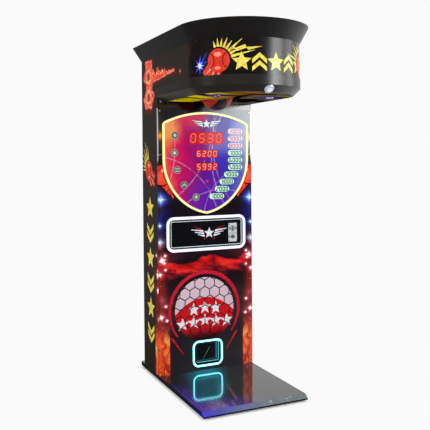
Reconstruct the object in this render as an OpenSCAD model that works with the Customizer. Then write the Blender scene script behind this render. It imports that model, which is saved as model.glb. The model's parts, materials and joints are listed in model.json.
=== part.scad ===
// Boxing arcade machine: a column on a low deck, with a round-fronted canopy that holds a
// swinging punch ball. Millimetres, +Z up, front towards -Y, origin under the middle on the floor.
// Sub-parts are drawn in the deck frame: x from the middle, y back from the front face of the
// column, z up from the top of the deck. on_deck() moves that frame to its place.

/* [Column] */
// Width of the column over its side boards
column_w = 704; // [680:1:860]
// Depth of the column, front face to back face
column_d = 315; // [300:1:400]
// Height of the front board, deck to its top edge
sill_h = 1800; // [1740:1:2160]
// Thickness of the side, back and top boards
board_t = 18; // [15:0.5:22]
// Thickness of the front board
front_t = 12; // [9:0.5:16]
// Width of the aluminium edge trims
trim_w = 5; // [3:0.5:8]
// Height of the polished strip above the front board
strip_h = 38; // [30:1:50]

/* [Base] */
// How much narrower the base is than the column, each side
base_inset = 2; // [0:0.5:6]
// Length of deck in front of the column
deck_front = 700; // [560:5:900]
// Length of deck behind the column
deck_back = 75; // [70:1:110]
// Thickness of the deck plate and its skirts
deck_t = 4; // [3:0.5:6]
// Horizontal run of the sloping front lip
lip_run = 30; // [20:1:50]
// Drop of the sloping front lip
lip_drop = 21; // [12:1:24]
// Side of the square rails under the deck
rail_s = 25; // [22:1:35]
// Wall of the square rails
rail_wall = 2; // [1.5:0.5:3]
// Height of the rubber feet
foot_h = 11; // [10:1:20]
// Radius of a foot
foot_r = 20; // [15:1:26]
// Radius of a transport wheel
wheel_r = 32; // [30:1:36]
// Width of a transport wheel
wheel_w = 24; // [18:1:30]

/* [Canopy] */
// Length of the straight canopy sides in front of the column face
cheek_reach = 548; // [500:1:660]
// How far the ledge stands out from the side boards
ledge_proud = 6; // [4:0.5:12]
// Height of the ledge band
ledge_h = 57; // [40:1:80]
// Rise of the sloping bevel under the ledge
bevel_rise = 39; // [30:1:50]
// Inward run of the same bevel
bevel_run = 40; // [30:1:50]
// Height of the printed marquee band
marquee_h = 211; // [180:1:260]
// Thickness of the bent marquee sheet
marquee_t = 3; // [2:0.5:5]
// Thickness of the underside panel
under_t = 6; // [4:0.5:9]
// Height of the flared crown
crown_h = 101; // [70:1:140]
// How far the crown leans out at the sides and front
crown_flare = 56; // [30:1:80]
// How far the crown leans out at the back
crown_back = 32; // [20:1:60]
// Wall of the crown
crown_t = 5; // [4:0.5:8]
// Half width of the ball bay in the underside
bay_half_w = 140; // [125:1:200]
// Half width of the arm slot in front of the bay
slot_half_w = 40; // [30:1:60]

/* [Ball and swing] */
// Radius of the punch ball
ball_r = 112; // [90:1:120]
// Distance from the swing shaft to the middle of the ball
arm_len = 380; // [360:1:420]
// Distance of the swing shaft in front of the column face
pivot_reach = 570; // [540:1:600]
// Height of the swing shaft above the underside of the canopy
pivot_rise = 55; // [50:1:80]
// Radius of the swing shaft
shaft_r = 10; // [8:0.5:12]
// Radius of the arm tube
arm_r = 15; // [12:0.5:17]
// Outside distance between the bearing plates
yoke_w = 202; // [180:1:260]
// Thickness of a bearing plate
yoke_t = 6; // [4:0.5:8]
// Running clearance of shafts, pins and axles
run_gap = 0.05; // [0.03:0.01:0.08]

/* [Score shield] */
// Gap between the shield light and the edge of the column
shield_margin = 32; // [24:1:45]
// Gap between the top of the shield and the top of the front board
shield_drop = 20; // [14:1:40]
// Radius of the arc along the top of the shield
shield_top_r = 710; // [600:5:900]
// How far past the middle each side arc has its centre; the two arcs meet at the foot
shield_arc_past = 67; // [30:1:110]
// Height of the apex of the top arc above the start of the side arcs
shield_upper_h = 310; // [280:1:330]
// Radius of the two upper corners
shield_corner_r = 24; // [12:1:30]
// Width of the light guide round the shield
light_w = 14; // [8:1:18]
// How far the light guides stand out of the front
light_proud = 12; // [8:1:18]
// Thickness of the shield face
face_t = 5; // [3:0.5:8]
// Width of the large number display
display_w = 256; // [200:1:280]
// Height of the large number display
display_h = 86; // [60:1:100]
// Width of a small number display
counter_w = 162; // [120:1:200]
// Height of a small number display
counter_h = 54; // [40:1:60]
// Depth of the display modules behind the face
display_deep = 35; // [25:1:45]
// Width of a score lamp
pill_w = 110; // [70:1:120]
// Height of a score lamp
pill_h = 38; // [24:1:40]
// Height from one score lamp to the next
pill_pitch = 50; // [42:1:60]

/* [Coin window] */
// Gap between the foot of the shield and the coin window
window_drop = 15; // [8:1:60]
// Gap between the coin window light and the edge of the column
window_margin = 55; // [40:1:80]
// Height of the coin window over its light
window_h = 239; // [220:1:280]
// Width of the light band round the coin window
window_band = 20; // [14:1:30]
// Width of the coin plate
coin_plate_w = 65; // [64:1:80]
// Height of the coin plate
coin_plate_h = 130; // [120:1:140]
// Distance of the coin plate from the middle
coin_x = 197; // [150:1:205]
// Distance from the middle of the coin window down to the middle of the coin plate
coin_drop = 4; // [0:1:10]
// Width of the coin slot
coin_slot_w = 6; // [5:0.5:8]
// Height of the coin slot
coin_slot_h = 36; // [28:1:40]

/* [Prize pocket] */
// Height of the lower light above the deck
pocket_rise = 27; // [15:1:60]
// Width over the lower light
pocket_light_w = 225; // [210:1:300]
// Height over the lower light
pocket_light_h = 181; // [170:1:240]
// Width of the lower light band
pocket_band = 12; // [10:1:18]
// Width of the mouth of the pocket
mouth_w = 156; // [130:1:170]
// Height of the mouth of the pocket
mouth_h = 124; // [100:1:130]
// Depth of the pocket
pocket_deep = 150; // [140:1:200]
// Wall of the pocket
pocket_wall = 2.5; // [2:0.5:4]

/* [Back] */
// Width of the service door opening
door_w = 480; // [420:1:500]
// Height of the service door opening
door_h = 1240; // [900:5:1240]
// Height of the bottom of the service door opening
door_rise = 170; // [150:1:260]
// Gap round the service door
door_gap = 2; // [1.5:0.5:4]

/* [Start button] */
// Outer radius of the start button's ring
button_ring_r = 29; // [24:0.5:30]
// Radius of the start button's lens
button_cap_r = 22.5; // [18:0.5:25]
// Travel of the start button
button_travel = 4; // [3:0.5:4]

/* [Hidden] */
$fn = 96;
tiny = 0.01;
fit_gap = 0.3;
loose_gap = 1;
half_w = column_w / 2;
inner_half = half_w - board_t;
base_half = half_w - base_inset;
base_h = deck_t + rail_s + foot_h;
skirt_h = deck_t + rail_s + 1;
deck_end = column_d + deck_back;

under_z = sill_h + strip_h;
ledge_z = under_z + bevel_rise;
cheek_z = ledge_z + 3;
marquee_z = ledge_z + ledge_h;
top_z = marquee_z + marquee_h;
crown_z = top_z + crown_h;
ledge_r = half_w + ledge_proud;
ledge_wall = ledge_proud - fit_gap;
under_r = ledge_r - bevel_run;
under_half = under_r - ledge_wall - fit_gap;
flange_t = 4;
flange_inner = under_half - 20;
front_reach = cheek_reach + half_w + crown_flare;

wheel_lift = 4;
wheel_z = wheel_r + wheel_lift - base_h;
wheel_y = deck_end + 14 - wheel_r;
wheel_x = half_w - 110;
wheel_side_gap = 1;
wheel_end_gap = 1;
ear_t = 4;
ear_outer = wheel_w / 2 + wheel_side_gap + ear_t;
axle_half = ear_outer + 5;
axle_r = 5;
back_reach = wheel_y + wheel_r;
face_y = (front_reach - back_reach) / 2;

rear_rail_y = wheel_y - wheel_r - wheel_end_gap - ear_t - rail_s / 2;
rail_y = [-deck_front + rail_s / 2 + 3, -deck_front / 2, rail_s / 2, rear_rail_y];
side_rail_x = base_half - deck_t - 0.5 - rail_s / 2;
foot_x = side_rail_x - rail_s / 2 - foot_r - 5;
deck_screw_pitch = 205;
lip_screw_pitch = 132;
screw_r = 2.5;
screw_head_r = 5;

shield_half = half_w - shield_margin - light_w / 2;
shield_top_z = sill_h - shield_drop - light_w / 2;
shield_top_c = shield_top_z - shield_top_r;
shield_side_z = shield_top_z - shield_upper_h;
shield_side_r = shield_half + shield_arc_past;
shield_foot_z = shield_side_z - sqrt(pow(shield_side_r, 2) - pow(shield_arc_past, 2));
display_z = shield_top_z - 172;
counter_top_z = shield_top_z - 278;
counter_low_z = shield_top_z - 368;
counter_x = 5;
pill_top_z = shield_top_z - 123;
pill_count = 10;
pill_straight = 5;
pill_x = shield_half - 91;
pill_lens_t = 1.5;
ready_z = shield_top_z - 467;
ready_r = 10;
module_gap = 0.5;
panel_screw_x = half_w - 16;

window_half = half_w - window_margin;
window_top = shield_foot_z - light_w / 2 - window_drop;
window_low = window_top - window_h;
window_mid = (window_top + window_low) / 2;
window_r = 52;
coin_panel_t = 5;
bezel_w = 7;
bezel_in = 7.5;
bezel_r = 18;
coin_z = window_mid - coin_drop;
coin_slot_z = coin_z + 28;
reject_z = coin_z - 30;
reject_r = 8;
reject_travel = 3;
mech_w = 60;
mech_h = 112;
mech_deep = 50;
mech_low = coin_z - mech_h / 2;
duct_w = 36;
duct_deep = 16;
duct_wall = 1.5;
return_y = 14;
cash_y = 33;
cash_box_w = 200;
cash_box_x = inner_half - 8 - cash_box_w;
cash_box_d = 190;
cash_box_h = 170;
cash_box_y = 24;
cash_box_wall = 2;

pocket_mid = pocket_rise + pocket_light_h / 2;
pocket_light_r = 44;
flange_gap = 2;
mouth_top = pocket_mid + mouth_h / 2 + 7;
mouth_low = mouth_top - mouth_h;
flap_t = 4;
flap_y = 6;
flap_knuckle_r = 4;
flap_pin_r = 2;
flap_pin_z = mouth_top - flap_knuckle_r - 1.5;

pivot_z = under_z + pivot_rise;
bay_back = -45;
ball_y = -pivot_reach + arm_len;
bay_front = ball_y - ball_r - 38;
slot_front = -pivot_reach - 55;
hub_r = 24;
hub_half = 22;
collar_r = 19;
collar_len = 50;
cap_r = pivot_rise - under_t - 7;
shaft_left = yoke_w / 2 + 39;
shaft_right = yoke_w / 2 + 27;
bearing_w = 20;
bearing_r = 30;
encoder_r = pivot_rise - under_t - 4;
encoder_x = -(yoke_w / 2 + 30);
encoder_t = 2;
magnet_r = 30;
magnet_h = 40;
magnet_gap = 0.5;
armature_r = 28;
armature_t = 8;
armature_d = 165;
saddle_h = 34;
stop_face = 21;
yoke_low = under_t + 6 - pivot_rise;
stop_low = yoke_low + 2;
lamp_x = slot_half_w + 145;
lamp_reach = pivot_reach - 5;
lamp_r = 26;
lamp_body_r = 22;

bevel_angle = atan2(bevel_rise, bevel_run);
button_tilt = 180 - bevel_angle;
button_z = under_z + bevel_rise / 2;
button_reach = cheek_reach + under_r + bevel_run / 2;
boss_proud = 2.5;
barrel_r = 14;
barrel_len = 30;

hinge_r = 6;
hinge_pin_r = 3;
hinge_x = -door_w / 2 - 1;
hinge_y = column_d + hinge_r + fit_gap;
hinge_h = 90;
hinge_leaf = 34;
hinge_leaf_t = 2.5;
hinge_z = [door_rise + 150, door_rise + door_h - 150];
door_half = door_w / 2 - door_gap;
lock_x = door_half - 28;
lock_z = door_rise + door_h / 2;
lock_r = 9.5;
plug_r = 6;
fan_x = inner_half - 130;
fan_z = door_rise + door_h + 200;
fan_s = 120;
fan_deep = 25;
fan_r = 55;
speaker_x = -fan_x;
speaker_r = 82;
speaker_hole_r = 72;
inlet_x = inner_half - 55;
inlet_z = 90;
inlet_w = 30;
inlet_h = 62;
rocker_tilt = 8;
back_y = column_d - board_t;

// The deck frame: the column's front face, on top of the deck
module on_deck() {
    translate([0, face_y, base_h]) children();
}

// A box from its lowest corner to its highest
module block(low, high) {
    translate(low) cube(high - low);
}

// The same shape on both sides of the machine
module both_sides() {
    children();
    mirror([1, 0, 0]) children();
}

// An outline drawn as (y, z), made w wide about the middle plane
module slab_yz(w) {
    translate([-w / 2, 0, 0]) rotate([90, 0, 90]) linear_extrude(w) children();
}

// An outline drawn as (x, z), extruded from y0 back to y1
module slab_xz(y0, y1) {
    translate([0, y1, 0]) rotate([90, 0, 0]) linear_extrude(y1 - y0) children();
}

// A rod along X, from x0 to x1
module rod_x(r, x0, x1) {
    translate([x0, 0, 0]) rotate([0, 90, 0]) cylinder(h = x1 - x0, r = r);
}

// A rod along Y, from y0 to y1
module rod_y(r, y0, y1) {
    translate([0, y0, 0]) rotate([-90, 0, 0]) cylinder(h = y1 - y0, r = r);
}

// A rectangle with round corners, centred
module round_rect(w, h, r) {
    square([w - 2 * r, h], center = true);
    square([w, h - 2 * r], center = true);
    for (sx = [-1, 1], sz = [-1, 1])
        translate([sx * (w / 2 - r), sz * (h / 2 - r)]) circle(r);
}

// A square steel tube along X or Y, centred on its own middle
module tube_along_y(len) {
    difference() {
        cube([rail_s, len, rail_s], center = true);
        cube([rail_s - 2 * rail_wall, len + 2, rail_s - 2 * rail_wall], center = true);
    }
}

// Base

deck_screw_xy = [
    for (x = [-1.5, -0.5, 0.5, 1.5]) [x * deck_screw_pitch, -16],
    for (x = [-1.6, 0, 1.6]) [x * deck_screw_pitch, rail_y[1]]
];
lip_screw_x = [for (i = [-2:2]) i * lip_screw_pitch];
lip_angle = atan2(lip_drop, lip_run);

// Where the deck screws go, each with its head up
module at_deck_screws() {
    for (p = deck_screw_xy) translate([p[0], p[1], 0]) children();
    for (x = lip_screw_x)
        translate([x, -deck_front - lip_run / 2, -lip_drop / 2]) rotate([lip_angle, 0, 0]) children();
}

module deck_plate() {
    t = deck_t;
    slope = sqrt(pow(lip_run, 2) + pow(lip_drop, 2));
    turn = t * (slope - lip_run) / lip_drop;
    knee = t * (slope - lip_drop) / lip_run;
    outline = [[deck_end, 0], [-deck_front, 0], [-deck_front - lip_run, -lip_drop],
        [-deck_front - lip_run, -skirt_h]];
    color([0.06, 0.06, 0.07]) on_deck() difference() {
        union() {
            slab_yz(2 * base_half) polygon(concat(outline, [
                [-deck_front - lip_run + t, -skirt_h], [-deck_front - lip_run + t, -lip_drop - knee],
                [-deck_front + turn, -t], [deck_end - t, -t], [deck_end - t, -skirt_h],
                [deck_end, -skirt_h]]));
            both_sides() translate([base_half - t / 2, 0, 0])
                slab_yz(t) polygon(concat(outline, [[deck_end, -skirt_h]]));
        }
        at_deck_screws() {
            translate([0, 0, -deck_t - 2]) cylinder(h = deck_t + 4, r = screw_r + 0.2, $fn = 24);
            translate([0, 0, -2.2]) cylinder(h = 2.4, r1 = screw_r + 0.2, r2 = screw_head_r + 0.9, $fn = 32);
        }
        both_sides() block([wheel_x - axle_half - 1, wheel_y - wheel_r - 4, -skirt_h - 1],
            [wheel_x + axle_half + 1, deck_end + 1, 1]);
    }
}

module base_rails() {
    y_low = rail_y[0] - rail_s / 2;
    y_high = deck_end - deck_t - 1;
    color([0.12, 0.12, 0.13]) on_deck() translate([0, 0, -deck_t - rail_s / 2]) {
        both_sides() translate([side_rail_x, (y_low + y_high) / 2, 0]) tube_along_y(y_high - y_low);
        for (y = rail_y)
            translate([0, y, 0]) rotate([0, 0, 90]) tube_along_y(2 * side_rail_x - rail_s);
    }
}

module feet() {
    color([0.05, 0.05, 0.05]) on_deck() both_sides() for (i = [0, 2, 3])
        translate([foot_x, rail_y[i], -base_h]) cylinder(h = foot_h, r = foot_r);
}

module wheel_brackets() {
    z_low = -deck_t - rail_s;
    z_high = wheel_z + 12;
    y_low = rail_y[3] + rail_s / 2;
    y_high = wheel_y + 12;
    color([0.35, 0.35, 0.37]) on_deck() both_sides() translate([wheel_x, 0, 0]) difference() {
        union() {
            for (s = [-1, 1]) translate([s * (ear_outer - ear_t / 2), 0, 0])
                slab_yz(ear_t) polygon([[y_low, z_low], [y_high, z_low], [y_high, z_high],
                    [wheel_y - 12, z_high], [y_low, -deck_t - 2]]);
            block([-ear_outer, y_low, z_low], [ear_outer, y_low + ear_t, -deck_t - 2]);
        }
        translate([0, wheel_y, wheel_z]) rod_x(axle_r + run_gap, -ear_outer - 1, ear_outer + 1);
    }
}

module wheel_axles() {
    color("silver") on_deck() both_sides() translate([wheel_x, wheel_y, wheel_z]) {
        rod_x(axle_r, -ear_outer - 0.5, ear_outer + 0.5);
        rod_x(8, ear_outer + 0.2, axle_half);
        rod_x(8, -axle_half, -ear_outer - 0.2);
    }
}

// A wheel about its axle: hub, web and a round-shouldered tread
module wheel() {
    w = wheel_w / 2;
    rotate([0, 90, 0]) rotate_extrude() difference() {
        union() {
            translate([axle_r + run_gap, -w]) square([7, 2 * w]);
            translate([axle_r + 6, -w + 6]) square([wheel_r - 18, 2 * w - 12]);
            translate([wheel_r - 8, -w + 3]) square([8, 2 * w - 6]);
            translate([wheel_r - 8, -w]) square([5, 2 * w]);
            for (s = [-1, 1]) translate([wheel_r - 3, s * (w - 3)]) circle(3, $fn = 32);
        }
        translate([0, -w - 1]) square([axle_r + run_gap, 2 * w + 2]);
    }
}

module wheel_left() {
    color([0.1, 0.1, 0.1]) on_deck() translate([-wheel_x, wheel_y, wheel_z]) wheel();
}

module wheel_right() {
    color([0.1, 0.1, 0.1]) on_deck() translate([wheel_x, wheel_y, wheel_z]) wheel();
}

// Column boards

front_screw_z = [for (i = [0:6]) 16 + i * (sill_h - 32) / 6];

module at_front_screws() {
    both_sides() for (z = front_screw_z) translate([panel_screw_x, 0, z]) children();
}

module side_board() {
    difference() {
        translate([half_w - board_t / 2, 0, 0]) slab_yz(board_t) polygon([[front_t, 0], [column_d, 0],
            [column_d, top_z], [-cheek_reach, top_z], [-cheek_reach, cheek_z], [0, cheek_z],
            [0, sill_h], [front_t, sill_h]]);
        for (z = front_screw_z) translate([panel_screw_x, 0, z])
            rod_y(screw_r + 0.1, 0, front_t + 22, $fn = 24);
    }
}

module side_board_left() {
    color([0.13, 0.11, 0.1]) on_deck() mirror([1, 0, 0]) side_board();
}

module side_board_right() {
    color([0.13, 0.11, 0.1]) on_deck() side_board();
}

module display_cutouts(gap) {
    translate([0, display_z]) square([display_w + 2 * gap, display_h + 2 * gap], center = true);
    for (z = [counter_top_z, counter_low_z])
        translate([counter_x, z]) square([counter_w + 2 * gap, counter_h + 2 * gap], center = true);
}

module coin_cutout(gap) {
    translate([coin_x, coin_z]) square([mech_w + 2 * gap, mech_h + 2 * gap], center = true);
}

module front_board() {
    color([0.08, 0.06, 0.1]) on_deck() difference() {
        slab_xz(0, front_t) difference() {
            translate([-half_w + trim_w, 0]) square([2 * (half_w - trim_w), sill_h]);
            display_cutouts(loose_gap);
            coin_cutout(loose_gap);
            translate([0, (mouth_top + mouth_low) / 2])
                square([mouth_w + 2 * pocket_wall + 1, mouth_h + 2 * pocket_wall + 1], center = true);
        }
        at_front_screws() rod_y(screw_r + 0.1, -1, front_t + 1, $fn = 24);
    }
}

// A round-headed screw pointing down, with its head's seat at z = 0
module round_screw(len) {
    translate([0, 0, -len]) cylinder(h = len + 1, r = screw_r - 0.1, $fn = 24);
    cylinder(h = 2, r1 = screw_head_r, r2 = screw_head_r - 1.8, $fn = 32);
}

module panel_screws() {
    color("silver") on_deck() {
        at_deck_screws() {
            translate([0, 0, -deck_t]) cylinder(h = deck_t - 2, r = screw_r, $fn = 24);
            translate([0, 0, -2.2]) cylinder(h = 2, r1 = screw_r, r2 = screw_head_r, $fn = 32);
        }
        at_front_screws() rotate([90, 0, 0]) round_screw(front_t + 18);
        at_under_screws() translate([0, 0, under_z]) rotate([180, 0, 0]) round_screw(under_t + flange_t + 2);
    }
}

module edge_trims() {
    color("silver") on_deck() both_sides()
        block([half_w - trim_w, 0, 0], [half_w, front_t, sill_h]);
}

module head_strip() {
    color([0.45, 0.46, 0.48]) on_deck() difference() {
        block([-half_w, -2, sill_h], [half_w, 0, under_z - 0.5]);
        both_sides() block([half_w - 2, -3, sill_h - 1], [half_w + 1, -1, sill_h + 2]);
    }
}

module back_board() {
    color([0.12, 0.11, 0.11]) on_deck() slab_xz(back_y, column_d) difference() {
        translate([-inner_half, 0]) square([2 * inner_half, top_z - board_t]);
        translate([-door_w / 2, door_rise]) square([door_w, door_h]);
        translate([fan_x, fan_z]) circle(fan_r + 2);
        translate([speaker_x, fan_z]) circle(speaker_hole_r);
        translate([inlet_x, inlet_z]) square([inlet_w + 1, inlet_h + 1], center = true);
    }
}

// Score shield

// The shield outline, grown by g: a top arc, straight sides and two arcs down to a point
module shield_outline(g) {
    h = shield_half + g;
    rt = shield_top_r + g;
    rc = shield_corner_r + g;
    cx = shield_half - shield_corner_r;
    cz = shield_top_c + sqrt(pow(shield_top_r - shield_corner_r, 2) - pow(cx, 2));
    reach = rt / (shield_top_r - shield_corner_r);
    tx = cx * reach;
    tz = shield_top_c + (cz - shield_top_c) * reach;
    difference() {
        intersection() {
            translate([0, shield_top_c]) circle(rt, $fn = 360);
            union() {
                translate([-h, shield_side_z]) square([2 * h, shield_upper_h + g + 1]);
                intersection_for (s = [-1, 1])
                    translate([s * shield_arc_past, shield_side_z]) circle(shield_side_r + g, $fn = 240);
            }
        }
        for (s = [-1, 1])
            polygon([[s * cx, cz], [s * (h + 1), cz], [s * (h + 1), tz + 20], [s * tx, tz + 20],
                [s * tx, tz]]);
    }
    for (s = [-1, 1]) translate([s * cx, cz]) circle(rc);
}

module pill_places() {
    for (i = [0 : pill_count - 1]) {
        drop = i - pill_straight;
        shift = drop > 0 ? 30 * drop + 1.5 * drop * drop : 0;
        translate([pill_x - shift, 0, pill_top_z - i * pill_pitch]) children();
    }
}

module shield_face() {
    color([0.45, 0.1, 0.5]) on_deck() slab_xz(-face_t, 0) difference() {
        shield_outline(-light_w / 2 - fit_gap);
        display_cutouts(module_gap);
    }
}

module shield_light() {
    color([1, 0.95, 0.6]) on_deck() slab_xz(-light_proud, 0) difference() {
        shield_outline(light_w / 2);
        shield_outline(-light_w / 2);
    }
}

// A display module: a dark window in a raised rim, with a body that reaches behind the board
module display_module(w, h) {
    difference() {
        translate([-w / 2, -face_t - 1, -h / 2]) cube([w, face_t + 1 + display_deep, h]);
        translate([-w / 2 + 3, -face_t - 2, -h / 2 + 3]) cube([w - 6, 2, h - 6]);
    }
}

module number_displays() {
    color([0.3, 0.02, 0.02]) on_deck() {
        translate([0, 0, display_z]) display_module(display_w, display_h);
        for (z = [counter_top_z, counter_low_z])
            translate([counter_x, 0, z]) display_module(counter_w, counter_h);
    }
}

module score_lamps() {
    color("white") on_deck() pill_places()
        slab_xz(-face_t - pill_lens_t, -face_t) round_rect(pill_w, pill_h, pill_h / 2 - tiny);
    color("red") on_deck() translate([counter_x, 0, ready_z]) rod_y(ready_r, -face_t - 2, -face_t);
}

// The display driver behind the shield, and the main board on its stand-offs inside the left side
module circuit_boards() {
    board_y = 50;
    board_z = 1000;
    color([0.05, 0.35, 0.15]) on_deck() {
        block([-display_w / 2 - 15, display_deep, counter_low_z - counter_h / 2 - 15],
            [display_w / 2 + 15, display_deep + 2, display_z + display_h / 2 + 15]);
        translate([-inner_half, board_y, board_z]) {
            block([12, 0, 0], [14, 190, 260]);
            for (y = [10, 180], z = [10, 250]) translate([0, y, z]) rod_x(4, 0, 12, $fn = 24);
            block([14, 60, 90], [18, 100, 130]);
            block([14, 20, 200], [30, 60, 240]);
            block([14, 120, 20], [26, 175, 60]);
            block([14, 20, 20], [26, 34, 170]);
        }
    }
}

// Coin window

module window_ring(outer, inner, r) {
    translate([0, window_mid]) difference() {
        round_rect(2 * (window_half - outer), window_h - 2 * outer, r);
        round_rect(2 * (window_half - inner), window_h - 2 * inner, max(r - (inner - outer), 4));
    }
}

module window_light() {
    color("white") on_deck() slab_xz(-light_proud, 0) window_ring(0, window_band, window_r);
}

module coin_panel() {
    inset = window_band + fit_gap;
    color([0.03, 0.03, 0.04]) on_deck() slab_xz(-coin_panel_t, 0) difference() {
        translate([0, window_mid])
            round_rect(2 * (window_half - inset), window_h - 2 * inset, max(window_r - inset, 4));
        coin_cutout(loose_gap);
    }
}

module window_bezel() {
    color([0.4, 0.42, 0.44]) on_deck() slab_xz(-coin_panel_t - 3, -coin_panel_t)
        window_ring(window_band + bezel_in, window_band + bezel_in + bezel_w, bezel_r);
}

module coin_slot() {
    translate([coin_x, 0, coin_slot_z])
        block([-coin_slot_w / 2, -coin_panel_t - 5, -coin_slot_h / 2],
            [coin_slot_w / 2, mech_deep - 6, coin_slot_h / 2]);
}

module coin_plate() {
    color([0.8, 0.8, 0.78]) on_deck() difference() {
        union() {
            slab_xz(-coin_panel_t - 4, -coin_panel_t)
                translate([coin_x, coin_z]) round_rect(coin_plate_w, coin_plate_h, 4);
            translate([coin_x, 0, reject_z]) rod_y(reject_r + 4, -coin_panel_t - 6, -coin_panel_t);
        }
        coin_slot();
        translate([coin_x, 0, reject_z]) rod_y(reject_r + 0.2, -coin_panel_t - 7, -coin_panel_t + 1);
    }
}

module reject_button() {
    color([0.75, 0.1, 0.1]) on_deck() translate([coin_x, 0, reject_z]) {
        rod_y(reject_r, -coin_panel_t - 9, -coin_panel_t - 1);
        rod_y(3, -coin_panel_t - 1, 4);
    }
}

module coin_mech() {
    color([0.25, 0.25, 0.27]) on_deck() difference() {
        slab_xz(-coin_panel_t, mech_deep) coin_cutout(0);
        coin_slot();
        translate([coin_x, 0, coin_slot_z])
            block([-coin_slot_w / 2, return_y, mech_low - coin_slot_z - 1],
                [coin_slot_w / 2, mech_deep - 6, 0]);
        translate([coin_x, 0, reject_z]) rod_y(3.2, -coin_panel_t - 1, 8 + reject_travel);
        translate([coin_x, 0, reject_z]) rod_y(reject_r + 0.2, -coin_panel_t - 1, -coin_panel_t + 3);
    }
}

// The path of the return duct as (x, z), w to each side of its middle line, e past both ends
module return_path(w, e) {
    x_in = coin_x;
    x_out = mouth_w / 2 - 30;
    z_bend = mouth_top + 190;
    z_out = mouth_top + pocket_wall;
    polygon([[x_in - w, mech_low + e], [x_in + w, mech_low + e], [x_in + w, z_bend - w / 2],
        [x_out + w, z_out + 40], [x_out + w, z_out - e], [x_out - w, z_out - e],
        [x_out - w, z_out + 40 + w / 2], [x_in - w, z_bend + w / 2]]);
}

// Two ducts below the coin mechanism: one to the cash box, and one in front of it to the pocket
module coin_ducts() {
    low = cash_box_h + 2;
    color([0.55, 0.56, 0.58]) on_deck() {
        difference() {
            block([coin_x - duct_w / 2, cash_y, low], [coin_x + duct_w / 2, cash_y + duct_deep, mech_low]);
            block([coin_x - duct_w / 2 + duct_wall, cash_y + duct_wall, low - 1],
                [coin_x + duct_w / 2 - duct_wall, cash_y + duct_deep - duct_wall, mech_low + 1]);
        }
        difference() {
            slab_xz(return_y, return_y + duct_deep) return_path(duct_w / 2, 0);
            slab_xz(return_y + duct_wall, return_y + duct_deep - duct_wall)
                return_path(duct_w / 2 - duct_wall, 1);
        }
    }
}

module cash_box() {
    t = cash_box_wall;
    low = [cash_box_x, cash_box_y, 0];
    high = [cash_box_x + cash_box_w, cash_box_y + cash_box_d, cash_box_h];
    wall = [t, t, t];
    grip_w = 84;
    grip_out = 34;
    grip_t = 8;
    color([0.2, 0.22, 0.25]) on_deck() difference() {
        union() {
            difference() {
                block(low, high);
                block(low + wall, high - wall);
            }
            translate([high[0] - cash_box_w / 2, high[1], cash_box_h / 2])
                block([-grip_w / 2 - grip_t, -t, -6], [grip_w / 2 + grip_t, grip_out, 6]);
        }
        block([coin_x - duct_w / 2 + 2, cash_y + 2, cash_box_h - 2 * t],
            [coin_x + duct_w / 2 - 2, cash_y + duct_deep - 2, cash_box_h + 1]);
        translate([high[0] - cash_box_w / 2, high[1], cash_box_h / 2])
            block([-grip_w / 2, 0, -7], [grip_w / 2, grip_out - grip_t, 7]);
    }
}

// Prize pocket

module pocket_light() {
    color([0.4, 0.95, 1]) on_deck() slab_xz(-light_proud, 0) translate([0, pocket_mid]) difference() {
        round_rect(pocket_light_w, pocket_light_h, pocket_light_r);
        round_rect(pocket_light_w - 2 * pocket_band, pocket_light_h - 2 * pocket_band,
            pocket_light_r - pocket_band);
    }
}

module prize_pocket() {
    w = mouth_w / 2;
    t = pocket_wall;
    x_out = w - 30;
    inset = pocket_band + flange_gap;
    color([0.04, 0.04, 0.05]) on_deck() difference() {
        union() {
            block([-w - t, -2, mouth_low - t], [w + t, pocket_deep, mouth_top + t]);
            slab_xz(-2, 0) translate([0, pocket_mid])
                round_rect(pocket_light_w - 2 * inset, pocket_light_h - 2 * inset, pocket_light_r - inset);
        }
        block([-w, -3, mouth_low], [w, pocket_deep - t, mouth_top]);
        block([x_out - duct_w / 2 + 2, return_y + 2, mouth_top - 1],
            [x_out + duct_w / 2 - 2, return_y + duct_deep - 2, mouth_top + t + 1]);
        translate([0, flap_y, flap_pin_z]) rod_x(flap_pin_r + run_gap, -w - t - 1, w + t + 1, $fn = 32);
    }
}

module prize_flap() {
    w = mouth_w / 2 - 1.5;
    color([0.2, 0.22, 0.24]) on_deck() difference() {
        union() {
            block([-w, flap_y - flap_t / 2, mouth_low + 2], [w, flap_y + flap_t / 2, flap_pin_z]);
            translate([0, flap_y, flap_pin_z]) rod_x(flap_knuckle_r, -w, w, $fn = 48);
        }
        translate([0, flap_y, flap_pin_z]) rod_x(flap_pin_r + run_gap, -w - 1, w + 1, $fn = 32);
    }
}

module flap_pin() {
    w = mouth_w / 2 + pocket_wall + 0.2;
    color("silver") on_deck() translate([0, flap_y, flap_pin_z]) rod_x(flap_pin_r, -w, w, $fn = 32);
}

// Service door, hinges and lock

module rear_door() {
    color([0.12, 0.11, 0.11]) on_deck() slab_xz(back_y, column_d) difference() {
        translate([-door_half, door_rise + door_gap]) square([2 * door_half, door_h - 2 * door_gap]);
        translate([lock_x, lock_z]) circle(lock_r + 0.1);
        for (i = [0:5]) translate([0, door_rise + 120 + i * 22]) round_rect(180, 8, 3.9);
    }
}

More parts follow.
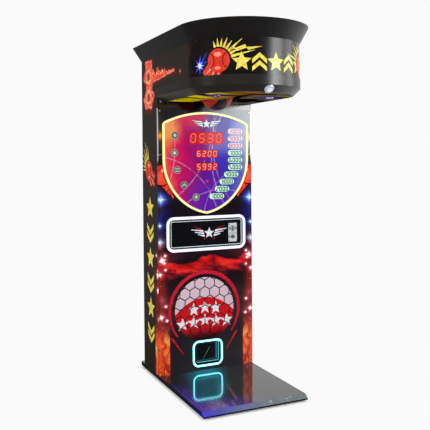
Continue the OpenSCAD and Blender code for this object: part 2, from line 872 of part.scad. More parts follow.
// One leaf: side is -1 for the frame and 1 for the door, knuckles is a list of z ranges
module hinge_leaf(side, knuckles) {
    difference() {
        union() {
            block([side > 0 ? hinge_r + 1 : -hinge_leaf, column_d, -hinge_h / 2],
                [side > 0 ? hinge_leaf : -hinge_r - 1, column_d + hinge_leaf_t, hinge_h / 2]);
            for (k = knuckles) {
                translate([0, hinge_y, k[0]]) cylinder(h = k[1] - k[0], r = hinge_r);
                block([side > 0 ? 0 : -hinge_r - 2, column_d + fit_gap, k[0]],
                    [side > 0 ? hinge_r + 2 : 0, column_d + hinge_leaf_t, k[1]]);
            }
        }
        translate([0, hinge_y, -hinge_h]) cylinder(h = 2 * hinge_h, r = hinge_pin_r + run_gap);
    }
}

module at_hinges() {
    for (z = hinge_z) translate([hinge_x, 0, z]) children();
}

module hinge_frame_leaves() {
    third = hinge_h / 6;
    color("silver") on_deck() at_hinges()
        hinge_leaf(-1, [[-hinge_h / 2, -third - 0.25], [third + 0.25, hinge_h / 2]]);
}

module hinge_door_leaves() {
    third = hinge_h / 6;
    color("silver") on_deck() at_hinges() hinge_leaf(1, [[-third + 0.25, third - 0.25]]);
}

module hinge_pins() {
    color("silver") on_deck() at_hinges() {
        translate([0, hinge_y, -hinge_h / 2 - 2]) cylinder(h = hinge_h + 4, r = hinge_pin_r);
        translate([0, hinge_y, hinge_h / 2 + 0.5]) cylinder(h = 2, r = hinge_r - 1);
    }
}

module lock_barrel() {
    color("silver") on_deck() translate([lock_x, 0, lock_z]) difference() {
        union() {
            rod_y(lock_r, back_y - 0.5, column_d);
            rod_y(lock_r + 3, column_d, column_d + 3);
        }
        rod_y(plug_r + run_gap, back_y - 2, column_d + 4);
    }
}

module lock_cam() {
    y_cam = back_y - 1;
    color([0.7, 0.7, 0.66]) on_deck() translate([lock_x, 0, lock_z]) difference() {
        union() {
            rod_y(plug_r, y_cam - 3, column_d + 3);
            block([-8, y_cam - 3, -8], [8, y_cam, 46]);
        }
        block([-0.8, column_d - 2, -4], [0.8, column_d + 4, 4]);
    }
}

// Fan, speaker and power

module fan_frame() {
    color([0.08, 0.08, 0.08]) on_deck() translate([fan_x, back_y, fan_z]) {
        slab_xz(-fan_deep, 0) difference() {
            round_rect(fan_s, fan_s, 6);
            circle(fan_r + 2);
        }
        slab_xz(-fan_deep, -fan_deep + 3) {
            circle(19);
            for (a = [45:90:315]) rotate(a) translate([0, -3]) square([fan_r + 4, 6]);
        }
        rod_y(3, -fan_deep, -4, $fn = 32);
    }
}

module fan_rotor() {
    color([0.1, 0.1, 0.1]) on_deck() translate([fan_x, back_y, fan_z]) difference() {
        union() {
            rod_y(18, -fan_deep + 4, -3);
            intersection() {
                rod_y(fan_r, -fan_deep + 4, -3);
                for (i = [0:6]) rotate([0, i * 360 / 7, 0]) translate([0, -14, 0])
                    rotate([35, 0, 0]) block([10, -1, -24], [fan_r + 4, 1, 24]);
            }
        }
        rod_y(3 + run_gap, -fan_deep, -3.5, $fn = 32);
    }
}

module speaker() {
    color([0.15, 0.15, 0.16]) on_deck() translate([speaker_x, back_y, fan_z]) rotate([90, 0, 0])
        rotate_extrude() polygon([[0, 52], [38, 52], [38, 34], [speaker_r - 8, 6], [speaker_r, 6],
            [speaker_r, 0], [speaker_hole_r - 2, 0], [34, 28], [16, 30], [0, 26]]);
}

// The ringed fan guard and the slotted speaker grille on the back board
module rear_grilles() {
    color([0.1, 0.1, 0.1]) on_deck() {
        translate([fan_x, 0, fan_z]) slab_xz(column_d, column_d + 2) {
            for (r = [14 : 12 : 62]) difference() {
                circle(r + 1.5);
                circle(r - 1.5);
            }
            for (a = [45, 135, 225, 315]) rotate(a) translate([14, -1.5]) square([48, 3]);
        }
        translate([speaker_x, 0, fan_z]) slab_xz(column_d, column_d + 2) difference() {
            circle(speaker_r);
            for (i = [-4:4]) translate([0, i * 14])
                round_rect(2 * sqrt(pow(speaker_r - 10, 2) - pow(i * 14, 2)), 7, 3.4);
        }
    }
}

module power_inlet() {
    socket_z = -13;
    color([0.06, 0.06, 0.06]) on_deck() translate([inlet_x, 0, inlet_z]) {
        difference() {
            union() {
                slab_xz(column_d, column_d + 3) round_rect(inlet_w + 14, inlet_h + 14, 4);
                block([-inlet_w / 2, back_y - 8, -inlet_h / 2], [inlet_w / 2, column_d + 1, inlet_h / 2]);
            }
            block([-13, back_y, socket_z - 9], [13, column_d + 4, socket_z + 9]);
            block([-7.5, back_y + 2, 7], [7.5, column_d + 4, 27]);
        }
        for (x = [-7, 0, 7]) block([x - 1, back_y - 1, socket_z - 2], [x + 1, column_d - 6, socket_z + 2]);
    }
    color("silver") on_deck() translate([inlet_x, column_d - 2, inlet_z + 17]) {
        rod_x(1.5, -7.6, 7.6, $fn = 24);
    }
}

module power_rocker() {
    color([0.6, 0.05, 0.05]) on_deck() translate([inlet_x, column_d - 2, inlet_z + 17])
        rotate([rocker_tilt, 0, 0]) difference() {
            slab_yz(14) polygon([[-5, -7], [4, -9], [5.2, 0], [4, 9], [-5, 7]]);
            rod_x(1.5 + run_gap, -8, 8, $fn = 24);
        }
}

module power_supply() {
    low = [-inner_half, 40, 330];
    size = [50, 115, 215];
    color([0.7, 0.7, 0.72]) on_deck() difference() {
        block(low, low + size);
        for (i = [0:8]) translate(low + [size[0] - 2, 14, 30 + i * 19]) cube([3, 87, 8]);
    }
}

// Canopy

// The canopy's plan at half width r, from the straight part's back edge y1, between z0 and z1
module canopy_mass(r, y1, z0, z1) {
    block([-r, -cheek_reach, z0], [r, y1, z1]);
    translate([0, -cheek_reach, z0]) cylinder(h = z1 - z0, r = r, $fn = 180);
}

// Everything in front of the straight cheeks
module front_half() {
    intersection() {
        children();
        block([-2 * column_w, -4 * column_w, 0], [2 * column_w, -cheek_reach - 0.5, 2 * crown_z]);
    }
}

// The board inside the top, the hoop that keeps the marquee round, and the rail over the front board
module canopy_boards() {
    hoop_w = 48;
    r = half_w - marquee_t - fit_gap;
    color([0.45, 0.36, 0.25]) on_deck() {
        block([-inner_half, -cheek_reach - 1, top_z - board_t], [inner_half, column_d, top_z]);
        front_half() translate([0, -cheek_reach, 0]) {
            translate([0, 0, top_z - board_t]) cylinder(h = board_t, r = r, $fn = 180);
            translate([0, 0, marquee_z - board_t]) difference() {
                cylinder(h = board_t, r = r, $fn = 180);
                translate([0, 0, -1]) cylinder(h = board_t + 2, r = r - hoop_w, $fn = 180);
            }
        }
        block([-inner_half, 0, sill_h], [inner_half, board_t, cheek_z]);
    }
}

module marquee_sheet() {
    color([0.12, 0.1, 0.11]) on_deck() front_half() translate([0, -cheek_reach, cheek_z]) difference() {
        cylinder(h = top_z - cheek_z, r = half_w, $fn = 180);
        translate([0, 0, -1]) cylinder(h = top_z - cheek_z + 2, r = half_w - marquee_t, $fn = 180);
    }
}

// The ledge and bevel in section, as (radius, z)
module ledge_section() {
    inner_r = half_w + fit_gap;
    polygon([[ledge_r, marquee_z], [inner_r, marquee_z], [inner_r, ledge_z],
        [under_r - ledge_wall, under_z], [under_r, under_z], [ledge_r, ledge_z]]);
    flange_z = under_z + under_t;
    flange_out = under_r + under_t * bevel_run / bevel_rise - 2;
    translate([flange_inner, flange_z]) square([flange_out - flange_inner, flange_t]);
}

// The start button's own frame: +Z is out of the bevel
module at_start_button() {
    translate([0, -button_reach, button_z]) rotate([button_tilt, 0, 0]) children();
}

// Places along the underside's edge for its screws
module at_under_screws() {
    r = under_half - 10;
    both_sides() for (y = [-60, -305]) translate([r, y, 0]) children();
    for (a = [0:36:180]) translate([-r * cos(a), -cheek_reach - r * sin(a), 0]) children();
}

module ledge_skirt() {
    color([0.16, 0.16, 0.16]) on_deck() difference() {
        union() {
            translate([0, -cheek_reach, 0]) rotate([0, 0, 180]) rotate_extrude(angle = 180, $fn = 180)
                ledge_section();
            both_sides() slab_xz(-cheek_reach, 0) ledge_section();
            at_start_button() translate([0, 0, -3]) cylinder(h = 3 + boss_proud, r = button_ring_r + 1);
        }
        at_start_button() translate([0, 0, -40]) cylinder(h = 60, r = barrel_r + fit_gap);
        at_under_screws() translate([0, 0, under_z]) cylinder(h = 20, r = screw_r, $fn = 24);
    }
}

module underside_panel() {
    color([0.3, 0.28, 0.08]) on_deck() difference() {
        canopy_mass(under_half, -1, under_z, under_z + under_t);
        block([-bay_half_w, bay_front, under_z - 1], [bay_half_w, bay_back, under_z + under_t + 1]);
        block([-slot_half_w, slot_front, under_z - 1], [slot_half_w, bay_front + 1, under_z + under_t + 1]);
        both_sides() translate([lamp_x, -lamp_reach, under_z - 1])
            cylinder(h = under_t + 2, r = lamp_body_r + 0.2);
        at_under_screws() translate([0, 0, under_z - 1]) cylinder(h = under_t + 2, r = screw_r, $fn = 24);
    }
}

module canopy_lamps() {
    color("silver") on_deck() both_sides() translate([lamp_x, -lamp_reach, under_z]) {
        translate([0, 0, -3]) cylinder(h = 3, r1 = lamp_r - 2, r2 = lamp_r);
        translate([0, 0, -tiny]) cylinder(h = 18, r = lamp_body_r);
    }
}

// Half width of the crown's outside at height z
function crown_at(z) = half_w + (z - top_z) * crown_flare / crown_h;
function crown_rear(z) = column_d + (z - top_z) * crown_back / crown_h;

// The leaning crown as a solid, moved in by g, from z0 to z1
module crown_mass(g, z0, z1) {
    r0 = crown_at(z0) - g;
    r1 = crown_at(z1) - g;
    y0 = crown_rear(z0) - g;
    y1 = crown_rear(z1) - g;
    intersection() {
        slab_xz(-cheek_reach, column_d + 2 * crown_back)
            polygon([[-r0, z0], [r0, z0], [r1, z1], [-r1, z1]]);
        slab_yz(4 * half_w) polygon([[-cheek_reach, z0], [y0, z0], [y1, z1], [-cheek_reach, z1]]);
    }
    translate([0, -cheek_reach, z0]) cylinder(h = z1 - z0, r1 = r0, r2 = r1, $fn = 180);
}

module crown() {
    foot = 4;
    color([0.15, 0.15, 0.15]) on_deck() difference() {
        crown_mass(0, top_z, crown_z);
        crown_mass(crown_t, top_z + foot, crown_z + 1);
        canopy_mass(half_w - 45, column_d - 45, top_z - 1, top_z + foot + 1);
    }
}

// Swing

module at_pivot() {
    translate([0, -pivot_reach, pivot_z]) children();
}

module yoke() {
    high = top_z - board_t - pivot_z;
    inner = yoke_w / 2 - yoke_t;
    color([0.3, 0.32, 0.36]) on_deck() at_pivot() difference() {
        union() {
            both_sides() block([inner, -60, yoke_low], [yoke_w / 2, 60, high]);
            block([-yoke_w / 2 - 20, -70, high - yoke_t], [yoke_w / 2 + 20, 70, high]);
            block([-inner - 1, -stop_face - 18, stop_low], [inner + 1, -stop_face - 12, stop_low + 20]);
        }
        rod_x(shaft_r + 3, -yoke_w, yoke_w);
    }
}

module stop_buffer() {
    color([0.05, 0.05, 0.05]) on_deck() at_pivot()
        block([-20, -stop_face - 12, stop_low], [20, -stop_face, stop_low + 16]);
}

// The fork that reads the slotted disc on the shaft
module speed_sensor() {
    color([0.1, 0.1, 0.12]) on_deck() at_pivot() difference() {
        union() {
            block([encoder_x - 8, -10, encoder_r - 16], [encoder_x + 8, 10, encoder_r + 14]);
            block([encoder_x + 7, -10, encoder_r + 4], [-yoke_w / 2, 10, encoder_r + 14]);
        }
        block([encoder_x - 2, -11, encoder_r - 20], [encoder_x + 2, 11, encoder_r + 4]);
    }
}

module shaft_bearings() {
    color([0.2, 0.3, 0.25]) on_deck() at_pivot() both_sides() difference() {
        union() {
            rod_x(bearing_r, yoke_w / 2, yoke_w / 2 + bearing_w - 6);
            rod_x(bearing_r - 10, yoke_w / 2, yoke_w / 2 + bearing_w);
            block([yoke_w / 2, -42, -16], [yoke_w / 2 + 8, 42, 16]);
        }
        rod_x(shaft_r + run_gap, yoke_w / 2 - 1, yoke_w);
    }
}

module swing_arm() {
    reach = arm_len - ball_r;
    color([0.55, 0.56, 0.6]) on_deck() at_pivot() {
        rod_x(shaft_r, -shaft_left, shaft_right);
        rod_x(hub_r, -hub_half, hub_half);
        rod_y(collar_r, 0, collar_len);
        rod_y(arm_r, 0, reach - 10);
        block([-15, armature_d - 20, 0], [15, armature_d + 20, saddle_h]);
        translate([0, armature_d, saddle_h]) cylinder(h = armature_t, r = armature_r);
        difference() {
            rod_y(cap_r, reach - 12, reach + 14);
            translate([0, arm_len, 0]) sphere(ball_r + fit_gap);
        }
        rod_y(8, reach - 12, reach + 70);
    }
}

module encoder_disc() {
    color([0.75, 0.76, 0.78]) on_deck() at_pivot() translate([encoder_x, 0, 0]) difference() {
        union() {
            rod_x(encoder_r, -encoder_t / 2, encoder_t / 2);
            rod_x(shaft_r + 6, -encoder_t / 2 - 6, encoder_t / 2);
        }
        rod_x(shaft_r + run_gap, -10, 10);
        for (i = [0:23]) rotate([i * 15, 0, 0]) block([-2, -1.5, encoder_r - 14], [2, 1.5, encoder_r - 4]);
    }
}

module punch_ball() {
    color([0.75, 0.1, 0.08]) on_deck() at_pivot() difference() {
        translate([0, arm_len, 0]) sphere(ball_r);
        rod_y(8 + run_gap, arm_len - ball_r - 10, arm_len - ball_r + 71);
    }
}

module holding_magnet() {
    low = saddle_h + armature_t + magnet_gap;
    high = top_z - board_t - pivot_z;
    color([0.4, 0.4, 0.42]) on_deck() at_pivot() translate([0, armature_d, 0]) {
        translate([0, 0, low]) cylinder(h = magnet_h, r = magnet_r);
        translate([0, 0, low + magnet_h]) cylinder(h = 6, r = magnet_r + 4);
        block([-20, -20, low + magnet_h + 5], [20, 20, high - 5]);
        block([-45, -35, high - 6], [45, 35, high]);
    }
}

module start_ring() {
    color("silver") on_deck() at_start_button() difference() {
        union() {
            translate([0, 0, boss_proud + 0.05]) cylinder(h = 6, r = button_ring_r);
            translate([0, 0, boss_proud + 6]) cylinder(h = 3, r1 = button_ring_r, r2 = button_ring_r - 3);
            translate([0, 0, -barrel_len]) cylinder(h = barrel_len + boss_proud + 1, r = barrel_r);
            translate([0, 0, -16]) cylinder(h = 8, r = barrel_r + 6, $fn = 6);
            translate([-12, -8, -barrel_len - 18]) cube([24, 16, 19]);
        }
        translate([0, 0, boss_proud + 2]) cylinder(h = 10, r = button_cap_r + 0.2);
        translate([0, 0, -barrel_len + 1]) cylinder(h = barrel_len + 10, r = 6.2);
    }
}

module start_cap() {
    dome = 5;
    floor_z = boss_proud + 2;
    dome_r = (pow(button_cap_r, 2) + dome * dome) / (2 * dome);
    color("white") on_deck() at_start_button() {
        translate([0, 0, floor_z + button_travel + 0.5]) {
            cylinder(h = 6, r = button_cap_r);
            intersection() {
                translate([0, 0, 6 - tiny]) cylinder(h = dome + 1, r = button_cap_r);
                translate([0, 0, 6 + dome - dome_r]) sphere(dome_r);
            }
        }
        translate([0, 0, -barrel_len + 1.5 + button_travel])
            cylinder(h = barrel_len + floor_z, r = 6);
    }
}

deck_plate();
base_rails();
feet();
wheel_brackets();
wheel_axles();
wheel_left();
wheel_right();
side_board_left();
side_board_right();
front_board();
back_board();
head_strip();
edge_trims();
panel_screws();
shield_face();
shield_light();
number_displays();
score_lamps();
circuit_boards();
window_light();
coin_panel();
window_bezel();
coin_plate();
reject_button();
coin_mech();
coin_ducts();
cash_box();
pocket_light();
prize_pocket();
prize_flap();
flap_pin();
rear_door();
hinge_frame_leaves();
hinge_door_leaves();
hinge_pins();
lock_barrel();
lock_cam();
fan_frame();
fan_rotor();
speaker();
rear_grilles();
power_inlet();
power_rocker();
power_supply();
canopy_boards();
marquee_sheet();
ledge_skirt();
underside_panel();
canopy_lamps();
crown();
yoke();
shaft_bearings();
stop_buffer();
speed_sensor();
holding_magnet();
swing_arm();
encoder_disc();
punch_ball();
start_ring();
start_cap();
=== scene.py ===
"""Finishes, prints and lights of a boxing arcade machine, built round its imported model.

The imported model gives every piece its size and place. This script gives each one its surface, and adds
the printed figures, digits, numbers, badges, lenses and the stitched leather ball.
"""

import functools
import json
import math
import random

import bmesh
import bpy
from mathutils import Matrix, Vector


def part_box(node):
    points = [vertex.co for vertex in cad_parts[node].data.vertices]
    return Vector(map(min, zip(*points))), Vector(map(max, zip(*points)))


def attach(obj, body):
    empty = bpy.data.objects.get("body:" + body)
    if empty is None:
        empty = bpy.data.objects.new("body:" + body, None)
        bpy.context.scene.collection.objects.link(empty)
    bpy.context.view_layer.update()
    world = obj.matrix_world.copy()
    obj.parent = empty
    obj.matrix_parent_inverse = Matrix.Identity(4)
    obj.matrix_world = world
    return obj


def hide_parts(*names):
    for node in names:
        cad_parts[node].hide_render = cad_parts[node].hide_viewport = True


bl_info = {
    "name": "Boxing Arcade Machine",
    "version": (1, 0, 0),
    "blender": (4, 5, 0),
    "location": "3D View > Sidebar > Arcade",
    "description": "Finishes, prints and lights of a boxing arcade machine round its packed model",
    "category": "Add Mesh",
}

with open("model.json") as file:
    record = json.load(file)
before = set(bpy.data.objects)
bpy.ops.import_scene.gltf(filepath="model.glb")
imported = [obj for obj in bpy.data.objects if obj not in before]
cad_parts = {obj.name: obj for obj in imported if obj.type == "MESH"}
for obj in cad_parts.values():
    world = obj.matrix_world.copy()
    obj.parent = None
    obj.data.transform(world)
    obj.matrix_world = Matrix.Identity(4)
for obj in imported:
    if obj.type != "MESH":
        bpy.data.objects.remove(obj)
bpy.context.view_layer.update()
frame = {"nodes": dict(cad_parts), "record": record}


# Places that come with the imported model


def low(node):
    """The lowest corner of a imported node."""
    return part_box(node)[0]


def high(node):
    """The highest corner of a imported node."""
    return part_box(node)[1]


def middle(node):
    """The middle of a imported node's box."""
    return (low(node) + high(node)) / 2


FRONT_Y = low("front_board").y
SIDE_X = high("side_board_right").x
ROUND_Y = low("side_board_right").y
DECK_Z = high("deck_plate").z
MARQUEE_R = high("marquee_sheet").x
BALL_CENTRE = middle("punch_ball")
BALL_R = high("punch_ball").x
# How far a print stands off its face, how thick it is, and how much higher each layer over it stands
LIFT = 0.0001
PRINT_T = 0.0003
NEXT_LAYER = PRINT_T * 1.05
# Corners nearer than this are one corner
SAME_POINT = 1e-6
SIDES = (-1, 1)


def solid_boxes(node):
    """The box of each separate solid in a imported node, highest first."""
    shape = bmesh.new()
    shape.from_mesh(frame["nodes"][node].data)
    bmesh.ops.remove_doubles(shape, verts=shape.verts, dist=SAME_POINT)
    left, boxes = set(shape.verts), []
    while left:
        solid, edge = set(), [left.pop()]
        while edge:
            vert = edge.pop()
            solid.add(vert)
            near = {link.other_vert(vert) for link in vert.link_edges} & left
            left -= near
            edge.extend(near)
        spans = list(zip(*(vert.co for vert in solid)))
        boxes.append([Vector([end(span) for span in spans]) for end in (min, max)])
    shape.free()
    return sorted(boxes, key=lambda box: -box[1].z)


# Node graphs


def tint(colour):
    """The linear colour of one written as it is seen, such as E9D060. A linear colour stays as it is."""
    if not isinstance(colour, str):
        return tuple(colour[:3])
    seen = [int(colour[i : i + 2], 16) / 255 for i in (0, 2, 4)]
    return tuple(s / 12.92 if s <= 0.04045 else ((s + 0.055) / 1.055) ** 2.4 for s in seen)


def dimmed(colour, share):
    """A colour brought down to a share of its brightness."""
    return tuple(c * share for c in tint(colour))


class Field:
    """A value or colour that varies over a surface. Arithmetic on it adds Math nodes."""

    def __init__(self, graph, socket):
        self.graph = graph
        self.socket = socket

    def __abs__(self):
        return self.graph.math("ABSOLUTE", self)


def field_arithmetic(operation):
    """The two methods of one operator: with a field on its left, and on its right."""
    return (lambda field, other: field.graph.math(operation, field, other),
            lambda field, other: field.graph.math(operation, other, field))


for word, operation in (("add", "ADD"), ("sub", "SUBTRACT"), ("mul", "MULTIPLY"), ("truediv", "DIVIDE"),
                        ("pow", "POWER"), ("mod", "FLOORED_MODULO")):
    on_left, on_right = field_arithmetic(operation)
    setattr(Field, "__%s__" % word, on_left)
    setattr(Field, "__r%s__" % word, on_right)


def away(*offsets):
    """How far a point is, from its offsets along square directions."""
    squares = [offset**2 for offset in offsets]
    return sum(squares[1:], squares[0]) ** 0.5


class Graph:
    """The node tree of one material or of the world."""

    def __init__(self, owner):
        owner.use_nodes = True
        self.tree = owner.node_tree
        self.tree.nodes.clear()

    def node(self, kind, values=None, **settings):
        """A new node, with its settings, and its inputs fed by number or name."""
        made = self.tree.nodes.new("ShaderNode" + kind)
        for name, value in settings.items():
            setattr(made, name, value)
        for name, value in (values or {}).items():
            self.feed(made.inputs[name], value)
        return made

    def field(self, kind, values, output=0, **settings):
        """A new node's output as a field."""
        return Field(self, self.node(kind, values, **settings).outputs[output])

    def feed(self, socket, value):
        """Links a field or shader to a socket, or sets a constant on the socket itself."""
        if isinstance(value, Field):
            self.tree.links.new(value.socket, socket)
        elif isinstance(value, bpy.types.Node):
            self.tree.links.new(value.outputs[0], socket)
        elif socket.type == "RGBA":
            socket.default_value = (*tint(value), 1.0)
        else:
            socket.default_value = value

    def math(self, operation, *values, clamp=False):
        return self.field("Math", dict(enumerate(values)), operation=operation, use_clamp=clamp)

    def least(self, a, b):
        return self.math("MINIMUM", a, b)

    def most(self, a, b):
        return self.math("MAXIMUM", a, b)

    def clamp(self, value):
        return self.math("ADD", value, 0.0, clamp=True)

    def vector(self, x, y, z=0.0):
        return self.field("CombineXYZ", {0: x, 1: y, 2: z})

    def parts(self, vector):
        return [Field(self, socket) for socket in self.node("SeparateXYZ", {0: vector}).outputs]

    def place(self):
        """Where a point of the piece is, in metres."""
        return self.field("TexCoord", {}, "Object")

    def xyz(self):
        return self.parts(self.place())

    def step(self, value, start, end):
        """A smooth step from 0 at start to 1 at end."""
        return self.field("MapRange", {"Value": value, "From Min": start, "From Max": end},
                         interpolation_type="SMOOTHSTEP")

    def noise(self, vector, scale, detail=2.0, roughness=0.5, distortion=0.0):
        return self.field("TexNoise", {"Vector": vector, "Scale": scale, "Detail": detail,
                                      "Roughness": roughness, "Distortion": distortion})

    def grain(self, scale, *how, **more):
        """Noise that keeps its scale in metres all over the piece."""
        return self.noise(self.place(), scale, *how, **more)

    def cells(self, vector, scale, output="Distance"):
        return self.field("TexVoronoi", {"Vector": vector, "Scale": scale}, output)

    def chance(self, value):
        """A random number for each whole value."""
        return self.field("TexWhiteNoise", {"W": value}, "Value", noise_dimensions="1D")

    def mix(self, share, a, b):
        return self.field("Mix", {0: share, 6: a, 7: b}, 2, data_type="RGBA")

    def ramp(self, value, stops):
        """Colours at marks along a value, with a smooth change between them."""
        made = self.node("ValToRGB", {0: value})
        marks = made.color_ramp.elements
        while len(marks) < len(stops):
            marks.new(0.5)
        for mark, (position, colour) in zip(marks, stops.items()):
            mark.position = position
            mark.color = (*tint(colour), 1.0)
        return Field(self, made.outputs[0])

    def bump(self, height, distance):
        return self.field("Bump", {"Distance": distance, "Height": height})

    def ray(self, kind):
        """1 for rays of one kind, such as Glossy."""
        return self.field("LightPath", {}, "Is %s Ray" % kind)

    def seen(self):
        """1 for what the camera sees, straight or through glass."""
        return self.most(self.ray("Camera"), self.ray("Transmission"))

    def surface(self, **inputs):
        """Ends the graph in a Principled shader. Names are its inputs, with underscores for spaces."""
        values = {name.replace("_", " "): value for name, value in inputs.items()}
        self.node("OutputMaterial", {"Surface": self.node("BsdfPrincipled", values)})


def finish(paint):
    """Makes a function that paints a graph into one that gives a new material of the given name."""

    @functools.wraps(paint)
    def painted(name, *how, **more):
        material = bpy.data.materials.new(name)
        paint(Graph(material), *how, **more)
        return material

    return painted


# Shared patterns of the prints


def flare(g, across, up, size):
    """A four-pointed star flare: 1 in its middle and 0 past its points."""
    a, b = abs(across) / size, abs(up) / size
    arm, core_r = 0.05, 0.012
    level = g.math("SUBTRACT", 1.0, a, clamp=True) ** 2 * (arm / (b + arm))
    upright = g.math("SUBTRACT", 1.0, b, clamp=True) ** 2 * (arm / (a + arm))
    reach = a * a + b * b
    core = core_r / (reach + core_r) * g.math("SUBTRACT", 1.0, reach * 3.0, clamp=True)
    return g.clamp(core * 1.4 + level + upright)


def fire(g, across, up, scale, seed=0.0):
    """Licking tongues of flame, as a noise field stretched upwards."""
    sway = g.noise(g.vector(across, up, seed), scale * 0.5) - 0.5
    drawn = g.vector(across * 1.9 + sway * 0.09, up * 0.75, seed)
    return g.noise(drawn, scale, 6.0, 0.62, 0.9)


FLAME = {0.30: "1A0202", 0.42: "8E1208", 0.50: "DD3A12", 0.58: "F26A28", 0.66: "F9A03C", 0.78: "FFF0C0"}
SMOULDER = {0.3: "2A0303", 0.7: "B01810"}
STRIP_W = 0.075
# Pitch, size, distance from the edge, scatter and rarity of the large and the small sparkles
SPARKLES = ((0.098, 0.056, 0.004, 0.022, 0.15), (0.049, 0.030, 0.0, 0.060, 0.45))


def edge_fire(g, colour, inwards, z, seed):
    """Adds the burning strip and its column of sparkles along a board's front edge to a print."""
    heat = fire(g, inwards, z, 15.0, seed)
    glow_reach = 0.10 - g.step(z, 0.35, 0.85) * 0.04
    smoulder = g.step(inwards + heat * 0.12 - 0.06, glow_reach, 0.02) * g.step(z, 0.88, 0.70)
    colour = g.mix(smoulder * 0.85, colour, g.ramp(heat, SMOULDER))
    strip = g.step(inwards, STRIP_W + 0.0005, STRIP_W - 0.0005) * g.step(z + heat * 0.22, 0.50, 0.38)
    colour = g.mix(strip, colour, g.ramp(heat + 0.03, FLAME))
    span = g.step(z, 0.34, 0.42) * g.step(z, 1.00, 0.86)
    for pitch, size, offset, scatter, rarity in SPARKLES:
        row = g.math("FLOOR", z / pitch)
        luck = g.chance(row + (seed + pitch))
        other = g.chance(row * 1.7 + (seed + 3.3))
        up = z % pitch - pitch / 2 + (other - 0.5) * pitch * 0.5
        across = inwards - offset - luck * scatter
        share = span * g.step(other, rarity, rarity + 0.40)
        halo = g.step(away(across, up), size * 0.8, 0.0) * share * 0.6
        colour = g.mix(halo, colour, "C02A40")
        spark = flare(g, across + up * 0.25, up - across * 0.25, size * (0.6 + luck * 0.6)) * share
        tone = g.mix(g.step(spark, 0.20, 0.65), "E85868", "FFF6F4")
        colour = g.mix(g.clamp(spark * 1.2), colour, tone)
    return colour


def hit_print(g, colour, across, up, size):
    """Adds a glossy red ball, drawn in dark lines, with a burning tail below it to a print."""
    outline = "160608"
    lick = fire(g, across, up, 22.0, 2.0)
    inside = size * 0.98 + up * 0.42 - abs(across + up * 0.50) + (lick - 0.5) * size * 0.7
    tail = g.step(inside, 0.0, 0.0015) * g.step(up, size * 0.2, 0.0)
    border = g.step(inside, -0.007, -0.005) * g.step(up, size * 0.2, 0.0)
    colour = g.mix(border, colour, outline)
    colour = g.mix(tail, colour, g.mix(g.step(lick, 0.42, 0.62), "C4141A", "EE4A2A"))
    reach = away(across, up) / size
    colour = g.mix(g.step(reach, 1.10, 1.06), colour, outline)
    skin = g.mix(g.step(reach + up / size * 0.5, 0.9, -0.1), "D81E1A", "F0583C")
    colour = g.mix(g.step(reach, 1.0, 0.96), colour, skin)
    seam = abs(away(across - size * 0.9, up) - size * 0.75)
    colour = g.mix(g.step(seam, 0.003, 0.0018) * g.step(reach, 0.98, 0.94), colour, "2A0608")
    shine = away(across - size * 0.1, up - size * 0.45)
    return g.mix(g.step(shine, size * 0.24, size * 0.12) * 0.4, colour, "FFD8C8")


def hex_gap(g, across, up, cell):
    """How far a point is from the nearest wall of a honeycomb, as a share of the cell."""
    x, y = across / cell, up / cell
    tall = math.sqrt(3)
    ax, ay = x % 1.0 - 0.5, y % tall - tall / 2
    bx, by = (x - 0.5) % 1.0 - 0.5, (y - tall / 2) % tall - tall / 2
    nearer = g.math("LESS_THAN", ax * ax + ay * ay, bx * bx + by * by)
    hx = abs(bx + (ax - bx) * nearer)
    hy = abs(by + (ay - by) * nearer)
    return 0.5 - g.most(hx, hx * 0.5 + hy * (tall / 2))


# Finishes

# How deep a board's printed face reaches, and the height of the front board's smoke band
FACE_DEPTH = 0.001
SMOKE_Z = 0.782
# Distance from the board's edge, height, size and halo of the blue flares on the front board
FRONT_FLARES = ((0.018, 1.228, 0.066, "0A34E0"), (0.010, 1.052, 0.036, "1C2CC0"),
                (0.012, 0.940, 0.052, "6A2474"))


def front_colour(g, x, z):
    """The front board's print: black with a smoke band, fire and sparkles down both edges, and red balls."""
    inwards = SIDE_X - abs(x)
    cloud = g.noise(g.vector(x, z), 7.0, 5.0, 0.6)
    colour = g.mix(g.step(z, 1.2, 1.8), "160C14", "101218")
    haze = g.step(inwards + cloud * 0.16, 0.20, 0.07) * g.step(z, 0.90, 1.04) * g.step(z, 1.33, 1.20)
    blue = g.mix(g.step(z, 0.92, 1.08), "2A0A2C", "081270")
    colour = g.mix(haze * g.step(cloud, 0.32, 0.58) * 0.9, colour, blue)
    streak = g.noise(g.vector(x * 0.55 + cloud * 0.1, z * 1.7 + x * 0.3, 7.0), 11.0, 6.0, 0.6)
    crest = g.step(abs(x - 0.05), 0.17, 0.0) * 0.040 + g.step(x, 0.20, 0.34) * 0.035
    rise = z - SMOKE_Z - crest + (cloud - 0.5) * 0.05
    body = g.step(rise + (0.5 - streak) * 0.06, 0.020, 0.004)
    wisps = g.step((0.0 - rise) + (0.5 - streak) * 0.22, 0.105, 0.015)
    reds = {0.34: "24040A", 0.47: "8E0810", 0.57: "C41016", 0.70: "E8342A"}
    colour = g.mix(body * wisps, colour, g.ramp(streak + wisps * 0.05, reds))
    colour = edge_fire(g, colour, inwards, z, 0.0)
    for across, up, size, halo in FRONT_FLARES:
        bright = flare(g, inwards - across, z - up, size) ** 1.5
        round_glow = g.step(away(inwards - across, z - up), size, 0.0)
        colour = g.mix(round_glow * 0.75, colour, halo)
        colour = g.mix(bright, colour, "D8F4FF")
    ember = flare(g, inwards - 0.018, z - 1.655, 0.05)
    colour = g.mix(g.clamp(ember * 1.4), colour, "F08A28")
    return hit_print(g, colour, inwards - 0.028, z - 1.392, 0.068)


def behind_face(g, y):
    """1 behind the front board's face, and 0 on it."""
    return g.step(y, FRONT_Y + FACE_DEPTH, FRONT_Y + 3 * FACE_DEPTH)


